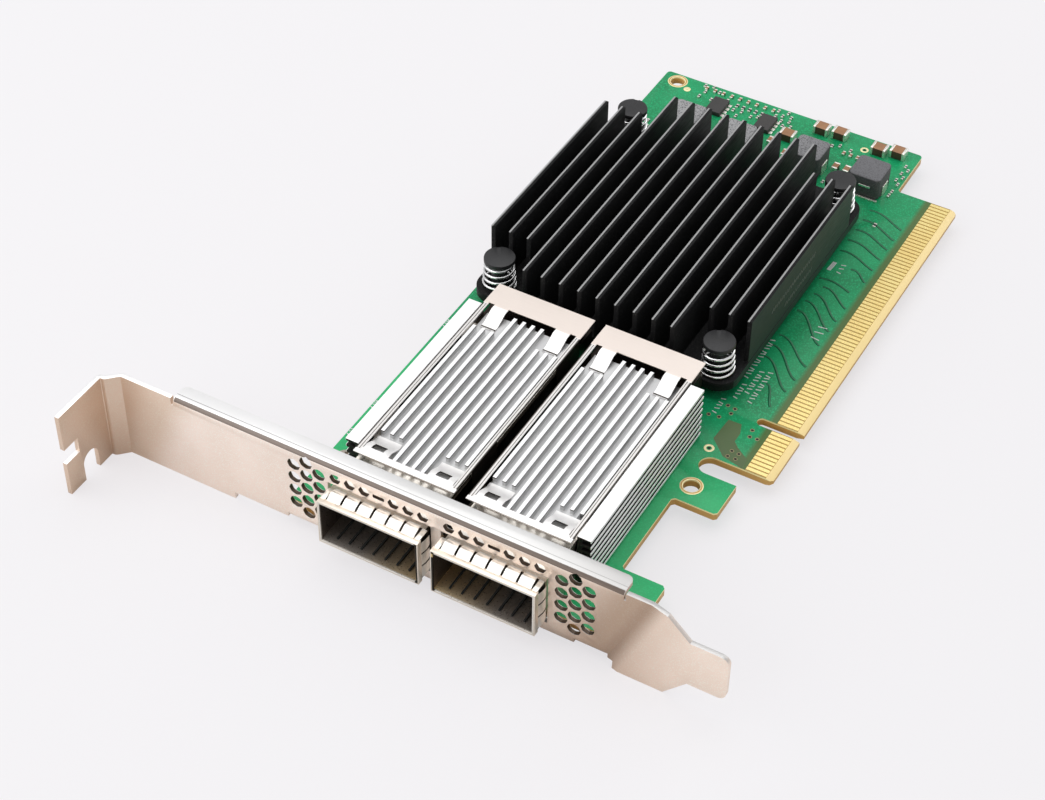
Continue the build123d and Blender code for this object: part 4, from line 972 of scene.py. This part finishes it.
def makeChip(kind):  # a body and its two plated ends, standing on the board
    width, depth, high = chipKinds[kind]["size"]
    end, soft = chipKinds[kind]["end"], chipKinds[kind]["round"]
    if kind == "large":  # its ends are at the sides
        body = addBlock("body", (0, 0, high / 2 - 0.02), (width - 2 * end + 0.1, depth - 0.08, high - 0.06))
        ends = [addBlock("end", (d * (width - end) / 2, 0, high / 2), (end, depth, high)) for d in (-1, 1)]
    else:
        body = addBlock("body", (0, 0, high / 2 - 0.02), (width - 0.04, depth - 2 * end + 0.1, high - 0.04))
        ends = [addBlock("end", (0, d * (depth - end) / 2, high / 2), (width, end, high)) for d in (-1, 1)]
    ends = joinPieces("ends", ends)
    segments = 2 if kind in ("large", "medium") else 1
    roundEdges(body, soft, segments)
    roundEdges(ends, soft, segments)
    return body, ends


chipBodies, plated = {}, []
for kind, places in chipPlaces.items():
    body, ends = makeChip(kind)
    chipBodies[kind] = [copyPiece(body, "body", (*place, 0)) for place in places]
    plated += [copyPiece(ends, "end", (*place, 0)) for place in places]
    bpy.data.objects.remove(body)
    bpy.data.objects.remove(ends)
for node, bodies, finish, slotName in (
        ("large_capacitors", chipBodies["large"] + chipBodies["medium"], "ceramicBody", "ceramic_tan"),
        ("small_capacitors", chipBodies["small"], "ceramicBody", "ceramic_tan"),
        ("chip_resistors", chipBodies["resistor"], "resistorGlaze", "resistor_black")):
    piece = joinPieces(node + "_piece", bodies)
    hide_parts(node)
    keepPiece(piece, made[finish])
keepPiece(joinPieces("tiny_parts", chipBodies["tiny"]), made["chipBody"])
keepPiece(joinPieces("chip_ends", plated), made["tinPlate"])

# Solder: four leads beside each power chip, and the inductor's foot and its face
solder = {"lead": (0.72, 0.8, 0.24), "leadZ": 0.14, "pitch": 1.2, "rows": [(-53.28, 78.4), (-42.28, 78.2)],
          "inductor": [((-17.0, 66.72, 0.22), (4.4, 0.42, 0.4)), ((-17.8, 66.86, 2.9), (2.4, 0.14, 0.5))]}
leadBlocks = [((x, leadY, solder["leadZ"]), solder["lead"]) for x, y in solder["rows"]
              for leadY in inRow(y, 4, solder["pitch"])] + solder["inductor"]
leads = [addBlock("lead", centre, size) for centre, size in leadBlocks]
for lead in leads:
    roundEdges(lead, 0.05, 1)
keepPiece(joinPieces("solder_leads", leads), made["tinPlate"])

# Solder side
keepPiece(dressNode("flash_memory", 0.06, 1), made["chipBody"])
keepPiece(dressNode("crystal", 0.15), made["tinPlate"])
keepPiece(dressNode("decoupling_capacitors", 0.04, 1), made["ceramicBody"])
print("rear parts and solder side ready")

# Floor, lamps and camera
stage = {"floorSize": 6.0, "floorColour": (0.80, 0.80, 0.81), "shown": (0.25, 0.25, 0.25),
         "glow": 0.655, "tint": (0.992, 0.972, 1.0), "world": 0.45, "gloss": 0.65,
         "air": (0.985, 0.985, 1.0), "drop": 0.02}
deselectAll()
bpy.ops.mesh.primitive_plane_add(size=stage["floorSize"], location=(0, 0, cadLow.z - stage["drop"] * mm))
floor = nameNew("floor")
floorMaterial = bpy.data.materials.new("paleFloor")
floorMaterial.use_nodes = True
tree = floorMaterial.node_tree
tree.nodes.remove(tree.nodes["Principled BSDF"])
output = tree.nodes["Material Output"]
diffuse = addNode(tree, "ShaderNodeBsdfDiffuse", {"Color": (*stage["floorColour"], 1)})
dim = addNode(tree, "ShaderNodeBsdfDiffuse", {"Color": (*stage["shown"], 1)})
glow = addNode(tree, "ShaderNodeEmission", {"Color": (*stage["tint"], 1), "Strength": stage["glow"]})
lit = addNode(tree, "ShaderNodeAddShader", {0: dim.outputs[0], 1: glow.outputs[0]})
path = addNode(tree, "ShaderNodeLightPath")
choose = addNode(tree, "ShaderNodeMixShader", {0: path.outputs["Is Camera Ray"], 1: diffuse.outputs[0],
                                               2: lit.outputs[0]})
tree.links.new(choose.outputs[0], output.inputs["Surface"])
floor.data.materials.append(floorMaterial)

world = bpy.data.worlds.new("paleRoom")
bpy.context.scene.world = world
world.use_nodes = True
tree = world.node_tree
background = tree.nodes["Background"]
path = addNode(tree, "ShaderNodeLightPath")
level = addNode(tree, "ShaderNodeMapRange", {"Value": path.outputs["Is Glossy Ray"],
                                             "To Min": stage["world"], "To Max": stage["gloss"]})
background.inputs["Color"].default_value = (*stage["air"], 1)
tree.links.new(level.outputs["Result"], background.inputs["Strength"])

lamps = {  # place and size in metres, power in watts
    "overhead": {"place": (-0.15, 0.10, 0.65), "size": 0.7, "power": 2.2},
    "left": {"place": (-0.55, -0.25, 0.40), "size": 0.5, "power": 1.0},
    "rear": {"place": (0.25, 0.65, 0.35), "size": 0.5, "power": 1.0},
    "front": {"place": (-0.35, -0.85, 0.40), "size": 0.7, "power": 2.4},
}
aim = Vector((-0.04, 0.01, 0))
for name, values in lamps.items():
    lamp = bpy.data.lights.new(name, "AREA")
    lamp.size = values["size"]
    lamp.energy = values["power"]
    lampObject = bpy.data.objects.new(name, lamp)
    bpy.context.scene.collection.objects.link(lampObject)
    lampObject.location = values["place"]
    lampObject.rotation_euler = (aim - Vector(values["place"])).to_track_quat("-Z", "Y").to_euler()

view = {"azimuth": 29.2319, "elevation": 44.1895, "roll": 0.7069, "lens": 78.81,
        "place": (0.095751, -0.271931, 0.284605)}
azimuth, elevation, roll = (math.radians(view[k]) for k in ("azimuth", "elevation", "roll"))
back = Vector((math.sin(azimuth) * math.cos(elevation), -math.cos(azimuth) * math.cos(elevation),
               math.sin(elevation)))
right = Vector((math.cos(azimuth), math.sin(azimuth), 0))
up = back.cross(right)
rolledRight = math.cos(roll) * right + math.sin(roll) * up
rolledUp = -math.sin(roll) * right + math.cos(roll) * up
camera = bpy.data.cameras.new("camera")
camera.lens = view["lens"]
camera.sensor_width = 36
camera.clip_start = 0.01
cameraObject = bpy.data.objects.new("camera", camera)
bpy.context.scene.collection.objects.link(cameraObject)
turn = Matrix((rolledRight, rolledUp, back)).transposed()
cameraObject.matrix_world = Matrix.Translation(view["place"]) @ turn.to_4x4()
bpy.context.scene.camera = cameraObject
bpy.context.scene.view_settings.view_transform = "Standard"
print("stage ready")
